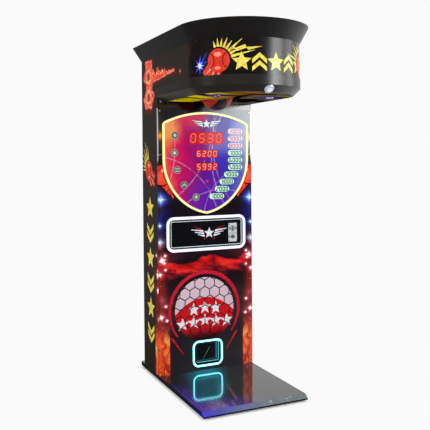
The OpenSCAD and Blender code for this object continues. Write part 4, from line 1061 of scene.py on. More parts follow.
def mirrored_level(g, x, y, settings):
    """What gloss sees in a level direction: bright to the studio's right and rear, and dark elsewhere."""
    to_light = g.step(x * 0.8 + y * 0.6, 0.15, 0.90)
    return settings.dark_level + to_light * (settings.white_level - settings.dark_level)


def light_world(settings):
    """A white surround for the camera, dark on the left and in front for gloss, and plain soft light."""
    world = bpy.data.worlds.new("studio")
    bpy.context.scene.world = world
    g = Graph(world)
    x, y, z = g.parts(g.field("TexCoord", {}, "Generated"))
    mirrored = mirrored_level(g, x, y, settings)
    level = settings.ambient + (mirrored - settings.ambient) * g.ray("Glossy")
    level = level + (settings.white_level - level) * g.seen()
    g.node("OutputWorld", {"Surface": g.node("Background", {"Color": WHITE, "Strength": level})})


@finish
def floor_finish(g, settings):
    """A pale floor with the machine's shadow, which gloss sees dark on the left and in front."""
    x, y, z = g.xyz()
    deck_half = (high("deck_plate") - low("deck_plate")) / 2
    beside = abs(x) - high("deck_plate").x
    before = abs(y - middle("deck_plate").y) - deck_half.y
    covered = g.step(g.most(beside, before), settings.contact_reach, 0.0)
    reach = away(x, y)
    share = covered * 0.85 + (1.0 - covered) * g.step(reach, 2.2, 1.3) * settings.floor_shade
    shadowed = g.node("BsdfDiffuse", {"Color": g.vector(share, share, share)})
    bright = g.node("Emission", {"Strength": settings.white_level - share * settings.floor_light})
    far = g.most(reach, 0.5)
    in_gloss = g.node("Emission", {"Strength": mirrored_level(g, x / far, y / far, settings)})
    bounce = g.node("BsdfDiffuse", {"Color": (0.75, 0.75, 0.75)})
    chosen = g.node("MixShader", {0: g.ray("Glossy"), 1: bounce, 2: in_gloss})
    chosen = g.node("MixShader", {0: g.seen(), 1: chosen, 2: g.node("AddShader", {0: shadowed, 1: bright})})
    g.node("OutputMaterial", {"Surface": chosen})


def lay_floor(settings):
    """A plain pale floor that keeps the machine's shadow, deepest where the deck covers it."""
    shape = bmesh.new()
    bmesh.ops.create_grid(shape, x_segments=4, y_segments=4, size=14.0)
    mesh = bpy.data.meshes.new("floor")
    shape.to_mesh(mesh)
    shape.free()
    mesh.materials.append(floor_finish("floor", settings))
    floor = bpy.data.objects.new("floor", mesh)
    bpy.context.scene.collection.objects.link(floor)


# Cabinet and the prints on its boards


def build_boards(settings):
    """The side, front and rear boards with slightly rounded edges, and their trims."""
    laminate = side_print("side_print")
    for node in ("side_board_left", "side_board_right"):
        softened(node, laminate, settings.board_edge)
    softened("front_board", front_print("front_print"))
    softened("back_board")
    softened("rear_door", body="door")
    softened("edge_trims", trim_finish("corner_trim"), settings.trim_edge)
    carried("head_strip", "panel_screws")


def hit_layers(u, v, size, lean, fan, corner):
    """A hit mark's layers: a seamed ball, a tail that points to lean, and spikes that stop at the corner."""
    spread = 13.0

    def ray(turn, near, far):
        across, up = turned(0.0, 0.0, size, turn)
        if across > 0:
            far = min(far, (corner[0] - u) / across)
        if up > 0:
            far = min(far, (corner[1] - v) / up)
        return [(u + reach * across, v + reach * up) for reach in (near, far)]

    def spikes(d):
        for i, reach in enumerate(fan):
            start, end = ray(lean + 180 + (i - (len(fan) - 1) / 2) * spread, 1.15, reach)
            d.bar(start, end, size * 0.24, size * 0.02)

    def tail(d, finish, shift, far, wide, grow):
        for turn, share in ((-24, 0.85), (0, 1.0), (24, 0.78)):
            start, end = ray(lean + turn + shift, 0.30, far * share + grow)
            d.bar(start, end, size * (wide + 2 * grow), size * (wide * 0.45 + grow), finish)

    def shadow(d):
        tail(d, 1, 0, 2.1, 1.0, 0.07)
        d.disc(u, v, size * 1.08, 1)

    def markings(d):
        d.arc(u + size * 1.15, v, size * 0.80, size * 0.73, 123, 237, 1, segments=20)
        d.arc(u - size * 1.15, v, size * 0.80, size * 0.73, -57, 57, 1, segments=20)
        d.disc(u - size * 0.05, v + size * 0.52, size * 0.20, 3, stretch=1.7)
        d.disc(u - size * 0.05, v - size * 0.62, size * 0.14, 3, stretch=1.9)

    return [
        spikes,
        shadow,
        lambda d: tail(d, 2, 0, 2.1, 1.0, 0.0),
        lambda d: tail(d, 3, 6, 1.8, 0.22, 0.0),
        lambda d: d.disc(u, v, size, 2),
        markings,
    ]


@functools.cache
def sport_inks():
    """The inks of the hit marks: yellow, black, red, salmon and white."""
    return [
        ink("ink_yellow", "F2E268", "D8BE3A"),
        ink("ink_black", "120D0E", "1A1416"),
        ink("ink_red", "E2402C", "C62A1C"),
        ink("ink_salmon", "F4A08C", "E87C68"),
        ink("ink_white", "FFF6F2", "F0DCD8"),
    ]


def draw_front(settings):
    """The front board's raised inks: the roundel with its stars and its swept rim."""
    crimson = ink("ink_crimson", "D41430", "A80E24", speckle=0.8)
    u, v, size = settings.roundel_x, settings.roundel_z, settings.roundel_r
    place = on_face(FRONT_Y)
    star_r, star_pitch = 0.049, 0.083

    def rim(d):
        d.arc(u, v, size + 0.003, size - 0.022, -40, 220, segments=96, taper=0.6)
        for side in SIDES:
            foot = (u + side * size * 0.60, v - size * 1.12)
            d.bar((u + side * size * 0.92, v - size * 0.66), foot, 0.014, 0.004)

    print_figures("roundel_rim", place, [rim], [crimson])
    print_figures("roundel_field", place, [lambda d: d.disc(u, v, size * 0.83, segments=96)],
                  [roundel_fill("roundel_field", False)])
    stars = Drawing()
    for count, lift, drop in ((3, 0.012, 0.010), (5, -0.080, 0.006)):
        for i in range(count):
            across = i - (count - 1) / 2
            stars.star(u + across * star_pitch, v + lift - abs(across) * drop, star_r)
    show("roundel_stars", stars.laid(place, LIFT + NEXT_LAYER), [roundel_fill("roundel_stars", True)],
         slot="black_laminate")


def draw_sides(settings):
    """The side boards' inks: a hit mark and a column of stars and chevrons."""
    inks = sport_inks()
    y = settings.side_figure_y
    chevron, lifts = (0.130, 0.085, 0.034), (-0.030, 0.022)

    def column(d):
        for i in range(6):
            z = settings.side_figure_top - i * settings.side_figure_pitch
            row_figure(d, i, y, z, 0.078, 0.45, chevron, lifts, turn=math.pi)

    mark = hit_layers(y + 0.010, 1.420, 0.070, 222, (2.4, 3.1, 2.6, 3.4, 2.8, 3.2, 2.5), (0.586, 1.62))
    for side, word in zip(SIDES, ("left", "right")):
        print_figures("side_hit_" + word, on_side(side), mark, inks)
        print_figures("side_column_" + word, on_side(side), [column], inks)


# Score shield

SEGMENTS = {"0": "abcdef", "1": "bc", "2": "abdeg", "3": "abcdg", "4": "bcfg", "5": "acdfg", "6": "acdefg",
            "7": "abc", "8": "abcdefg", "9": "abcdfg"}
# Where each segment lies, as shares of the way to the digit's side and top
SEGMENT_SPOTS = {"a": (0, 1), "g": (0, 0), "d": (0, -1), "f": (-1, 0.5), "b": (1, 0.5), "e": (-1, -0.5),
                 "c": (1, -0.5)}
DISPLAY_TEXTS = ("0530", "6200", "5992")


def block_digit(drawing, sign, u, v, width, height, stroke, finish):
    """One plain printed digit, built of square bars that touch but don't overlap."""
    half, thin = height / 2, height * 0.20
    for name in SEGMENTS[sign]:
        across, up = SEGMENT_SPOTS[name]
        if across:
            drawing.block(u + across * (width - stroke) / 2, v + up * half, stroke, half, finish)
        else:
            drawing.block(u, v + up * (half - thin / 2), width - 2 * stroke, thin, finish)


def lit_digit(drawing, sign, u, v, width, height, stroke):
    """One slanted seven-segment digit, its dark bars in the first finish and its lit ones in the second."""
    w, h, thick, slant = (width - stroke) / 2, (height - stroke) / 2, stroke / 2, 0.10
    for name, (across, up) in SEGMENT_SPOTS.items():
        x, y = across * w, up * h
        long = (h / 2 if across else w) - stroke * 0.12
        bar = [(-long, 0), (-long + thick, thick), (long - thick, thick), (long, 0), (long - thick, -thick),
               (-long + thick, -thick)]
        points = [(x - b, y + a) if across else (x + a, y + b) for a, b in bar]
        drawing.polygon([(u + a + b * slant, v + b) for a, b in points], int(name in SEGMENTS[sign]))


def build_displays(settings):
    """The three red windows with their seven-segment digits."""
    carried("number_displays")
    dim = lit("segment_off", "DC2630", 0.86)
    large = lit("segment_large", "FF5650", settings.digit_glow)
    small = lit("segment_small", "FF9C94", settings.digit_glow)
    for number, ((lo, hi), text) in enumerate(zip(solid_boxes("number_displays"), DISPLAY_TEXTS)):
        tall = hi.z - lo.z
        pitch = (hi.x - lo.x) / len(text)
        drawing = Drawing()
        for place, sign in enumerate(text):
            u, v = lo.x + pitch * (place + 0.5), (lo.z + hi.z) / 2
            lit_digit(drawing, sign, u, v, pitch * 0.68, tall * 0.76, tall * 0.11)
        finishes = [dim, small if number else large]
        show("display_digits_%d" % (number + 1), drawing.laid(on_face(lo.y)), finishes, slot="led_window")


def build_score_lamps(settings):
    """Ten pill lamps with their printed numbers, and the small red lamp."""
    boxes = solid_boxes("score_lamps")
    narrowest_pill, white_rows, skin = 0.05, 3, 1e-4
    pills = [box for box in boxes if box[1].x - box[0].x > narrowest_pill]
    ready = next(box for box in boxes if box not in pills)
    lenses = [lit("pill_white", "F0DCE6", settings.pill_glow, base="D0BCC8"),
              lit("pill_mint", "C4F0D0", settings.pill_glow, base="A8D4B4"),
              lit("ready_red", "D01420", 0.75, base="A01018")]
    shape = merged_copy("score_lamps")
    for face in shape.faces:
        centre = face.calc_center_median()
        in_ready = all(ready[0][i] - skin < centre[i] < ready[1][i] + skin for i in range(3))
        face.material_index = 2 if in_ready else int(centre.z < pills[white_rows - 1][0].z)
    show("score_lamp_lenses", shape, lenses, slot="lamp_white", stands_for=("score_lamps",), soften=0.0008)
    inks = [ink("ink_green", "04561E", "044418"), ink("ink_number_red", "A00C22", "800818")]
    numbers = Drawing()
    for row, (lo, hi) in enumerate(pills):
        text = str(1000 * (len(pills) - row))
        pitch, tall = (hi.x - lo.x) * 0.88 / max(len(text), 4), (hi.z - lo.z) * 0.80
        for place, sign in enumerate(text):
            u, v = (lo.x + hi.x) / 2 + (place - (len(text) - 1) / 2) * pitch, (lo.z + hi.z) / 2
            block_digit(numbers, sign, u, v, pitch * 0.80, tall, pitch * 0.26, int(row < white_rows))
    show("score_numbers", numbers.laid(on_face(pills[0][0].y)), inks, slot="lamp_white")


# How far each badge lies to the right of the first, and above its even step
BADGE_BENDS = ((0.0, 0.0), (-0.004, 0.002), (0.015, 0.008), (0.065, 0.026), (0.152, 0.063))
BADGE_SIGNS = (
    lambda d, u, v: d.disc(u, v, 0.011, 2),
    lambda d, u, v: d.star(u, v, 0.019, 2, points=6, waist=0.40),
    lambda d, u, v: [d.bar((u - 0.015, v + side * 0.008), (u + 0.015, v + side * 0.008), 0.006, 0.006, 2)
                     for side in SIDES],
    lambda d, u, v: d.chevron(u, v, 0.030, 0.026, 0.010, 2),
    lambda d, u, v: d.star(u, v, 0.020, 2, points=4, waist=0.34),
)


def build_badges(settings):
    """Five round badges along an arc down the shield's left, each with a plain sign."""
    finishes = [metal("badge_rim", "8C988C", 0.34, metallic=0.4), plastic("badge_field", "46524A", 0.35),
                metal("badge_sign", "C8CCC0", 0.34, metallic=0.4)]
    first_v = high("shield_face").z - settings.badge_drop
    place = on_face(low("shield_face").y)
    badge_t, sign_t = 0.0012, 0.0006
    badges, signs = Drawing(), Drawing()
    for i, ((bend, lift), sign) in enumerate(zip(BADGE_BENDS, BADGE_SIGNS)):
        u = settings.badge_x + bend
        v = first_v - i * settings.badge_pitch + lift
        badges.ring(u, v, 0.026, 0.0215, 0)
        badges.disc(u, v, 0.0210, 1)
        sign(signs, u, v)
    show("shield_badges", badges.laid(place, thick=badge_t), finishes, slot="shield_print", soften=0.0003)
    show("shield_badge_signs", signs.laid(place, LIFT + badge_t, sign_t), finishes, slot="shield_print")


def crest(name, place, u, v, wide, tall, slot):
    """A generic crest: a star between swept bars, with a dark shadow and red sparks."""

    def bars(d, finish, du, dv, grow):
        d.star(u + du, v + dv, tall * 0.56 + grow, finish, waist=0.44)
        for side in SIDES:
            for i, drop in enumerate((0.22, -0.02, -0.26)):
                start = (u + du + side * (tall * 0.62 - i * tall * 0.07), v + dv + tall * drop)
                end = (u + du + side * wide * (0.50 - i * 0.09), v + dv + tall * (drop + 0.16))
                d.bar(start, end, tall * 0.17 + grow, tall * 0.06 + grow, finish)

    def sparks(d):
        for side in SIDES:
            d.star(u + side * wide * 0.14, v - tall * 0.52, tall * 0.13, 2, points=4, waist=0.35)
            start = (u + side * wide * 0.22, v + tall * 0.36)
            d.bar(start, (u + side * wide * 0.44, v + tall * 0.72), tall * 0.10, tall * 0.02, 2)

    inks = [ink("crest_white", "E8EAEE", "C4C8D0", speckle=0.7), ink("crest_shadow", "0C0A10", "14101A"),
            ink("crest_red", "C8142A", "A00C1E")]
    layers = [
        lambda d: bars(d, 1, tall * 0.05, -tall * 0.06, tall * 0.05),
        lambda d: bars(d, 0, 0.0, 0.0, 0.0),
        sparks,
    ]
    print_figures(name, place, layers, inks, slot)


def build_shield(settings):
    """The score shield: its print, lit outline, displays, lamps, badges and crest."""
    carried("shield_face")
    light_guide("shield_light", "shield", "warm_light", settings)
    build_displays(settings)
    build_score_lamps(settings)
    build_badges(settings)
    top = high("shield_face").z
    crest("shield_crest", on_face(low("shield_face").y), 0.004, top - 0.066, 0.215, 0.056, "shield_print")


# Coin window and prize pocket


def build_coin_window(settings):
    """The lit window with its panel, bezel, coin plate and crest."""
    light_guide("window_light", "window", "white_light", settings)
    carried("coin_panel")
    softened("window_bezel")
    face, mid = on_face(low("coin_panel").y), middle("coin_panel")
    panel, bezel = (high(node) - low(node) for node in ("coin_panel", "window_bezel"))
    inset, under_bezel = 0.003, 0.0005
    width, height = panel.x - 2 * inset, panel.z - 2 * inset
    band = Drawing()
    band.rounded(mid.x, mid.z, width, height, settings.band_corner, segments=10)
    band.hollow((width - bezel.x) / 2 - under_bezel)
    teal = plastic("bezel_band", "0C2626", 0.18, depth=0.0)
    show("window_band", band.laid(face), [teal], slot="bezel_grey")
    build_coin_plate()
    crest("window_crest", face, mid.x + 0.018, mid.z, 0.265, 0.072, "black_acrylic")


def build_coin_plate():
    """The brushed coin plate with its slot frame, arrow, screws and return button."""
    softened("coin_plate")
    carried("reject_button", material=slot_finish("bearing_iron"))
    lo, hi = low("coin_plate"), high("coin_plate")
    u, slot_v, button_v = (lo.x + hi.x) / 2, middle("coin_plate").z + 0.028, middle("reject_button").z
    screw_in, screw_r, cut, frame_t = 0.008, 0.0035, 0.0026, 0.0014
    raised, marks = Drawing(), Drawing()
    marks.chevron(u - 0.022, slot_v, 0.020, 0.018, 0.008, turn=-math.pi / 2)
    marks.ring(u + 0.023, slot_v, 0.0085, 0.0060, segments=32)
    marks.bar((u - 0.026, button_v + 0.024), (u + 0.026, button_v + 0.024), 0.0025, 0.0025)
    marks.arc(u - 0.023, button_v, 0.0085, 0.0058, 60, 300, segments=20)
    raised.ring(u, button_v, 0.0150, 0.0105, segments=40)
    for side in SIDES:
        jaw, screw_u = u + side * 0.0075, u + side * 0.027
        raised.bar((jaw, slot_v - 0.022), (jaw, slot_v + 0.022), 0.0035, 0.0035)
        for v in (lo.z + screw_in, hi.z - screw_in):
            raised.disc(screw_u, v, screw_r, segments=20)
            marks.bar((screw_u - cut, v), (screw_u + cut, v), 0.0008, 0.0008)
    show("coin_plate_frame", raised.laid(on_face(lo.y), thick=frame_t), [slot_finish("lamp_chrome")],
         slot="coin_plate_metal", soften=0.0004)
    show("coin_plate_marks", marks.laid(on_face(lo.y), 2 * LIFT, frame_t - LIFT),
         [ink("plate_black", "16181A", "202426")], slot="coin_plate_metal")


@finish
def painted_bead_glow(g, u, v, wide, tall):
    """The bead's plastic, given a painted cyan glow of the guide's light, brighter on its right and at its
    foot.
    """
    x, y, z = g.xyz()
    ripple = g.grain(60.0)
    # The glow is painted, and brighter on the right and at the foot.
    bright = g.most(g.step(x - u, wide * 0.40, wide * 0.50), g.step(v - z, tall * 0.40, tall * 0.50))
    g.surface(Base_Color="0A1E22", Roughness=0.25, Emission_Color=g.mix(bright, "0C3C44", "7CD8E4"),
              Emission_Strength=0.55 + bright * 0.35 + ripple * 0.1)


def build_pocket(settings):
    """The lit pocket with its flap, and the thin bead round its mouth."""
    light_guide("pocket_light", "pocket", "cyan_light", settings)
    softened("prize_pocket", plastic("pocket_plastic", "0C1013", 0.10, depth=0.0))
    flap, mid, bead_w = high("prize_flap") - low("prize_flap"), middle("prize_flap"), settings.bead_w
    wide, tall = flap.x + 0.008, flap.z + 0.009
    bead = Drawing()
    bead.rounded(mid.x, mid.z, wide + 2 * bead_w, tall + 2 * bead_w, 0.010)
    bead.hollow(bead_w)
    show("pocket_bead", bead.laid(on_face(low("prize_pocket").y), thick=0.0015),
         [painted_bead_glow("lit_bead", mid.x, mid.z, wide, tall)], slot="cyan_light", soften=0.0005)
    softened("prize_flap", body="flap")
    carried("flap_pin")


# Canopy

# How wide the strips are into which the marquee's figures are cut, so that they follow its bend
MARQUEE_CUT = 0.008


def build_canopy(settings):
    """The crown, marquee, ledge, underside and its lamps."""
    softened("crown")
    softened("ledge_skirt", plastic("ledge_black", "24211E", 0.26, depth=0.0, worn=0.06))
    softened("marquee_sheet")
    carried("underside_panel", "canopy_boards", "canopy_lamps")
    shape = bmesh.new()
    lamp = canopy_lamp_spots()
    sunk, lens_r, flat = 0.002, 0.0125, Matrix.Diagonal((1.0, 1.0, 0.25, 1.0))
    for side in SIDES:
        at = Matrix.Translation((side * lamp.x, lamp.y, lamp.z + sunk))
        bmesh.ops.create_uvsphere(shape, u_segments=32, v_segments=16, radius=lens_r, matrix=at @ flat)
    show("canopy_lamp_lenses", shape, [lit("lamp_lens", "8C6CF0", settings.lamp_glow)], slot="lamp_chrome",
         smooth=ROUND_SHARP)


def print_marquee(name, layers, inks):
    """Lays layers of figures on the bent marquee."""
    print_figures("marquee_" + name, on_marquee, layers, inks, "marquee_print", MARQUEE_CUT)


def draw_marquee(settings):
    """The marquee's figures: five yellow stars and chevrons, hit marks at both ends, and blue sparks."""
    # The blue spark ink is given a painted glow.
    inks = sport_inks() + [lit("spark_blue", "3048E0", 0.5, base="2838C8"),
                           ink("spark_white", "E8F0FF", "C8D8F8")]
    z = middle("marquee_sheet").z - 0.008
    spark_z = z - 0.010
    chevron, lifts = (0.088, 0.062, 0.026), (-0.024, 0.020)

    def row(d, finish=0, grow=0.0, du=0.0, dv=0.0):
        for i in range(5):
            u = settings.figure_start + i * settings.figure_pitch
            row_figure(d, i, u + du, z + dv, 0.058, 0.46, chevron, lifts, finish, grow)

    def bolt(d):
        u, v = settings.hit_u + 0.055, z + 0.082
        zigzag = ((0.0, -0.020), (0.035, 0.012), (0.045, -0.006), (0.100, 0.014), (0.108, -0.002),
                  (0.200, 0.004), (0.118, -0.018), (0.106, -0.006), (0.055, -0.024), (0.040, -0.010))
        d.polygon([(u + along, v + up) for along, up in zigzag])

    def spark(d, u):
        d.star(u, spark_z, 0.056, 5, points=8, waist=0.36, ragged=0.3, seed=3)
        for turn, reach in ((20, 0.070), (52, 0.092), (84, 0.060)):
            degrees = turn if u < 0 else 180 - turn
            d.bar(turned(u, spark_z, 0.034, degrees), turned(u, spark_z, reach, degrees), 0.007, 0.001, 5)

    print_marquee("row", [lambda d: row(d, 1, 0.006, 0.003, -0.003), row], inks)
    print_marquee("bolt", [bolt], inks)
    ceiling = high("marquee_sheet").z - 0.004
    for word, u, lean, fan in (("left", settings.hit_u, 240, (3.2, 2.2, 2.7, 2.0, 2.5, 1.9, 2.2, 1.7)),
                               ("right", 0.010 - settings.hit_u, 312, (1.8, 2.2, 1.9, 2.4, 2.0, 2.7))):
        print_marquee("hit_" + word, hit_layers(u, z + 0.010, 0.068, lean, fan, (1.0, ceiling)), inks)
        at = u + math.copysign(0.130, u)
        layers = [lambda d: spark(d, at),
                  lambda d: d.star(at, spark_z, 0.034, 6, points=8, waist=0.30, ragged=0.3, seed=4)]
        print_marquee("spark_" + word, layers, inks)


@finish
def button_light(g):
    """The start button's milky cap, with a dimmer groove and edge."""
    centre = middle("start_cap")
    radius = (high("start_cap").x - low("start_cap").x) / 2
    x, y, z = g.xyz()
    reach = away(x - centre.x, y - centre.y, z - centre.z) / radius
    groove = g.step(abs(reach - 0.62), 0.16, 0.04)
    colour = g.mix(groove, "E8EEFF", "8C94C4")
    colour = g.mix(g.step(reach, 0.86, 0.98), colour, "5A6080")
    g.surface(Base_Color=g.mix(g.grain(60.0, 3.0), dimmed("B8C0D4", 0.8), "B8C0D4"), Roughness=0.15,
              Emission_Color=colour, Emission_Strength=0.38)


def build_start_button():
    """The chrome ring and the lit cap of the start button."""
    carried("start_ring", material=metal("ring_chrome", "D8DCE4", 0.26, worn=0.05, metallic=0.5))
    carried("start_cap", material=button_light("button_white"))


# Swing and ball


def build_ball(settings):
    """The stitched leather ball: gores round the swing's line, with seams drawn in."""
    gores, across, along = settings.gores, 16, 40
    gore, full = 2 * math.pi / gores, 2 * math.pi
    shape = bmesh.new()
    turn = Matrix.Rotation(math.pi / 2, 4, "X") @ Matrix.Rotation((gore + math.pi) / 2, 4, "Z")
    bmesh.ops.create_uvsphere(shape, u_segments=gores * across, v_segments=along, radius=BALL_R, matrix=turn)

    def past_seam(point):
        return math.atan2(point.z, point.x) - math.pi / 2 + gore / 2

    for vert in shape.verts:
        share = past_seam(vert.co) % gore
        off = min(share, gore - share) * math.hypot(vert.co.x, vert.co.z)
        dip = settings.seam_depth / BALL_R * math.exp(-((off / settings.seam_width) ** 2))
        vert.co = vert.co * (1.0 - dip)
    for face in shape.faces:
        face.material_index = int(past_seam(face.calc_center_median()) % full / gore) % 2
    bmesh.ops.translate(shape, vec=BALL_CENTRE, verts=shape.verts)
    skins = [leather("leather_red", "C8321E", "9A1C14"), leather("leather_black", "2A2022", "161214")]
    ball = show("leather_ball", shape, skins, "swing", "red_leather", ("punch_ball",),
                smooth=ROUND_SHARP)


def build_swing():
    """The arm, shaft and what reads and stops them."""
    carried("swing_arm", "encoder_disc", "yoke", "shaft_bearings", "stop_buffer", "speed_sensor",
            "holding_magnet")


# Deck, wheels and rear


def build_deck(settings):
    """The glossy deck with its rounded folds, rails, feet and wheels."""
    softened("deck_plate", width=settings.deck_edge)
    carried("base_rails", "feet", "wheel_brackets", "wheel_axles", "wheel_left", "wheel_right")


def build_rear():
    """What the back and the inside hold."""
    carried("hinge_frame_leaves", "hinge_door_leaves", "hinge_pins", "lock_barrel", "lock_cam", "fan_frame",
            "fan_rotor", "speaker", "rear_grilles", "power_inlet", "power_rocker", "power_supply",
            "circuit_boards", "coin_mech", "coin_ducts", "cash_box")


# Settings


def number(name, text, default, kind=bpy.props.FloatProperty, **more):
    """A setting with a name, a description and a default."""
    return kind(name=name, description=text, default=default, **more)


def length(name, text, default):
    return number(name, text, default, unit="LENGTH", subtype="DISTANCE")


def angle(name, text, default):
    return number(name, text, default, unit="ROTATION", subtype="ANGLE")


def hue(name, text, code):
    return number(name, text, tint(code), bpy.props.FloatVectorProperty, subtype="COLOR", size=3)


class StageSettings(bpy.types.PropertyGroup):
    """Camera, surround and lamps."""

    lens: number("Lens", "Focal length of the camera, in millimetres on a 36 mm sensor", 55.9)
    shift_y: number("Shift", "How far the picture is moved up, as a share of its width", -0.0998)
    camera_turn: angle("Turn", "How far the camera looks to the right of +Y", 0.4320)
    camera_dip: angle("Dip", "How far the camera looks down", 0.0196)
    camera_roll: angle("Roll", "How far the camera leans", -0.0080)
    camera_place: number("Place", "Where the camera stands", (-1.8716, -3.9311, 1.4979),
                         bpy.props.FloatVectorProperty, subtype="TRANSLATION", size=3)
    white_level: number("White", "Brightness of the white surround", 0.955)
    dark_level: number("Dark", "Brightness that gloss sees on the left and in front", 0.05)
    ambient: number("Soft light", "Level of the plain light from all round", 0.22)
    floor_shade: number("Floor shade", "Share of the floor's brightness that a shadow takes away", 0.03)
    floor_light: number("Floor light", "How brightly the lamps light the floor beside the machine", 0.95)
    contact_reach: length("Contact shadow", "How far past the deck the floor takes a full shadow", 0.018)


class CabinetSettings(bpy.types.PropertyGroup):
    """Edges of boards, trims and deck, and the figures printed on the boards."""

    board_edge: length("Board edge", "Rounding of the side boards' edges", 0.0012)
    trim_edge: length("Trim edge", "Rounding of the aluminium trims", 0.0006)
    deck_edge: length("Deck edge", "Rounding of the deck's folds", 0.0008)
    roundel_x: length("Roundel across", "Middle of the roundel, to the right of the board's middle", -0.018)
    roundel_z: length("Roundel height", "Height of the roundel's middle", 0.462)
    roundel_r: length("Roundel radius", "Radius of the roundel's rim", 0.266)
    side_figure_y: length("Side column", "Middle of the side boards' column of figures", 0.440)
    side_figure_top: length("Column top", "Height of the highest figure in that column", 1.165)
    side_figure_pitch: length("Column pitch", "Step between the figures of that column", 0.173)


class ShieldSettings(bpy.types.PropertyGroup):
    """The score shield's lights and badges."""

    guide_round: length("Guide rounding", "Rounding of the lit outline's edges", 0.0058)
    shield_core: hue("Outline core", "Colour of the lit outline's face", "FFFFB8")
    shield_edge: hue("Outline edge", "Colour of the lit outline's sides", "CCA81C")
    shield_glow: number("Outline glow", "Strength of the lit outline", 0.98)
    shield_rim: number("Outline sides' glow", "Strength of the lit outline's sides", 0.50)
    digit_glow: number("Digit glow", "Strength of the lit digits", 1.0)
    pill_glow: number("Pill glow", "Strength of the pill lamps", 0.45)
    badge_x: length("Badges across", "The first badge, to the right of the board's middle", -0.230)
    badge_drop: length("Badges below top", "The first badge, below the shield's top", 0.146)
    badge_pitch: length("Badge pitch", "Step between the badges", 0.121)


class WindowSettings(bpy.types.PropertyGroup):
    """The lit guides round the coin window and the pocket."""

    guide_round: length("Guide rounding", "Rounding of the lit guides' edges", 0.0050)
    window_core: hue("Window core", "Colour of the window guide's face", "FFFFFF")
    window_edge: hue("Window edge", "Colour of the window guide's sides", "9CB4FF")
    window_glow: number("Window glow", "Strength of the window guide", 1.0)
    window_rim: number("Window sides' glow", "Strength of the window guide's sides", 0.45)
    band_corner: length("Band corner", "Corner radius of the dark band round the coin window", 0.0287)
    pocket_core: hue("Pocket core", "Colour of the pocket guide's face", "84F8FF")
    pocket_edge: hue("Pocket edge", "Colour of the pocket guide's sides", "18B8C8")
    pocket_glow: number("Pocket glow", "Strength of the pocket guide", 4.4)
    pocket_rim: number("Pocket sides' glow", "Strength of the pocket guide's sides", 0.5)
    bead_w: length("Bead width", "Width of the lit bead round the pocket's mouth", 0.0035)


class CanopySettings(bpy.types.PropertyGroup):
    """The marquee's figures and the lamps under the canopy."""

    figure_start: length("Row start", "First figure, along the marquee's bend from its middle", -0.165)
    figure_pitch: length("Row pitch", "Step between the figures of the row", 0.103)
    hit_u: length("Hit mark", "Middle of the left hit mark, along the bend", -0.300)
    lamp_glow: number("Lamp glow", "Strength of the lamps' lenses", 2.5)


class BallSettings(bpy.types.PropertyGroup):
    """The stitched ball."""

    gores: number("Gores", "Leather panels round the ball", 6, bpy.props.IntProperty, min=4)
    seam_depth: length("Seam depth", "How far a seam draws the leather in", 0.0030)
    seam_width: length("Seam width", "How far from a seam the leather dips", 0.0045)


# Operators


class ARCADE_OT_stage(bpy.types.Operator):
    """Adds the camera, the white surround, the floor and the soft lamps"""

    bl_idname = "arcade.stage"
    bl_label = "Stage"

    def execute(self, context):
        settings = context.scene.arcade_stage
        context.scene.view_settings.view_transform = "Standard"
        place_camera(settings)
        light_world(settings)
        lay_floor(settings)
        for name, lamp in LAMPS.items():
            softbox(name, *lamp)
        return {"FINISHED"}


class ARCADE_OT_cabinet(bpy.types.Operator):
    """Shapes and finishes the boards and trims of the column"""

    bl_idname = "arcade.cabinet"
    bl_label = "Cabinet"

    def execute(self, context):
        build_boards(context.scene.arcade_cabinet)
        return {"FINISHED"}


class ARCADE_OT_prints(bpy.types.Operator):
    """Adds the figures printed on the front and side boards"""

    bl_idname = "arcade.prints"
    bl_label = "Prints"

    def execute(self, context):
        draw_front(context.scene.arcade_cabinet)
        draw_sides(context.scene.arcade_cabinet)
        return {"FINISHED"}


class ARCADE_OT_shield(bpy.types.Operator):
    """Builds the score shield with its displays, lamps and badges"""

    bl_idname = "arcade.shield"
    bl_label = "Score Shield"

    def execute(self, context):
        build_shield(context.scene.arcade_shield)
        return {"FINISHED"}


class ARCADE_OT_window(bpy.types.Operator):
    """Builds the coin window and the prize pocket"""

    bl_idname = "arcade.window"
    bl_label = "Coin Window and Pocket"

    def execute(self, context):
        build_coin_window(context.scene.arcade_window)
        build_pocket(context.scene.arcade_window)
        return {"FINISHED"}


class ARCADE_OT_canopy(bpy.types.Operator):
    """Builds the canopy, its marquee figures and the start button"""

    bl_idname = "arcade.canopy"
    bl_label = "Canopy"

    def execute(self, context):
        build_canopy(context.scene.arcade_canopy)
        draw_marquee(context.scene.arcade_canopy)
        build_start_button()
        return {"FINISHED"}


class ARCADE_OT_ball(bpy.types.Operator):
    """Builds the leather ball and finishes the swing"""

    bl_idname = "arcade.ball"
    bl_label = "Ball and Swing"

    def execute(self, context):
        build_ball(context.scene.arcade_ball)
        build_swing()
        return {"FINISHED"}


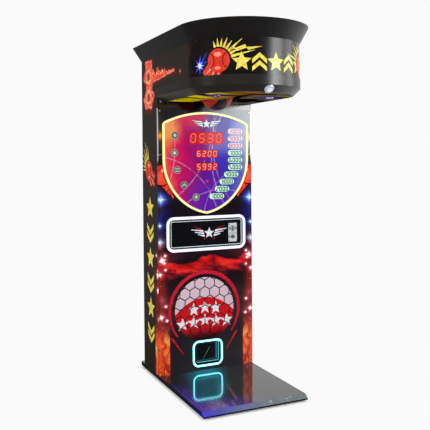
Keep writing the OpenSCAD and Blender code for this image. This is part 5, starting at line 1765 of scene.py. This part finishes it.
class ARCADE_OT_deck(bpy.types.Operator):
    """Finishes the deck, wheels, rear and inner parts"""

    bl_idname = "arcade.deck"
    bl_label = "Deck and Rear"

    def execute(self, context):
        build_deck(context.scene.arcade_cabinet)
        build_rear()
        return {"FINISHED"}


class ARCADE_PT_panel(bpy.types.Panel):
    """Lists the steps that build the machine"""

    bl_idname = "ARCADE_PT_panel"
    bl_label = "Boxing Arcade Machine"
    bl_space_type = "VIEW_3D"
    bl_region_type = "UI"
    bl_category = "Arcade"

    def draw(self, context):
        for operator, group in STEPS:
            box = self.layout.box()
            box.operator(operator.bl_idname)
            if group:
                settings = getattr(context.scene, group)
                for name in settings.__annotations__:
                    box.prop(settings, name)


GROUPS = {
    "arcade_stage": StageSettings,
    "arcade_cabinet": CabinetSettings,
    "arcade_shield": ShieldSettings,
    "arcade_window": WindowSettings,
    "arcade_canopy": CanopySettings,
    "arcade_ball": BallSettings,
}
STEPS = (
    (ARCADE_OT_stage, "arcade_stage"),
    (ARCADE_OT_cabinet, "arcade_cabinet"),
    (ARCADE_OT_prints, None),
    (ARCADE_OT_shield, "arcade_shield"),
    (ARCADE_OT_window, "arcade_window"),
    (ARCADE_OT_canopy, "arcade_canopy"),
    (ARCADE_OT_ball, "arcade_ball"),
    (ARCADE_OT_deck, None),
)


def register():
    for group in GROUPS.values():
        bpy.utils.register_class(group)
    for operator, _ in STEPS:
        bpy.utils.register_class(operator)
    bpy.utils.register_class(ARCADE_PT_panel)
    for name, group in GROUPS.items():
        setattr(bpy.types.Scene, name, bpy.props.PointerProperty(type=group))


def unregister():
    for name in GROUPS:
        delattr(bpy.types.Scene, name)
    bpy.utils.unregister_class(ARCADE_PT_panel)
    for operator, _ in reversed(STEPS):
        bpy.utils.unregister_class(operator)
    for group in reversed(list(GROUPS.values())):
        bpy.utils.unregister_class(group)


def main():
    """Builds the machine."""
    register()
    for operator, _ in STEPS:
        space, name = operator.bl_idname.split(".")
        getattr(getattr(bpy.ops, space), name)()


if __name__ == "__main__":
    main()
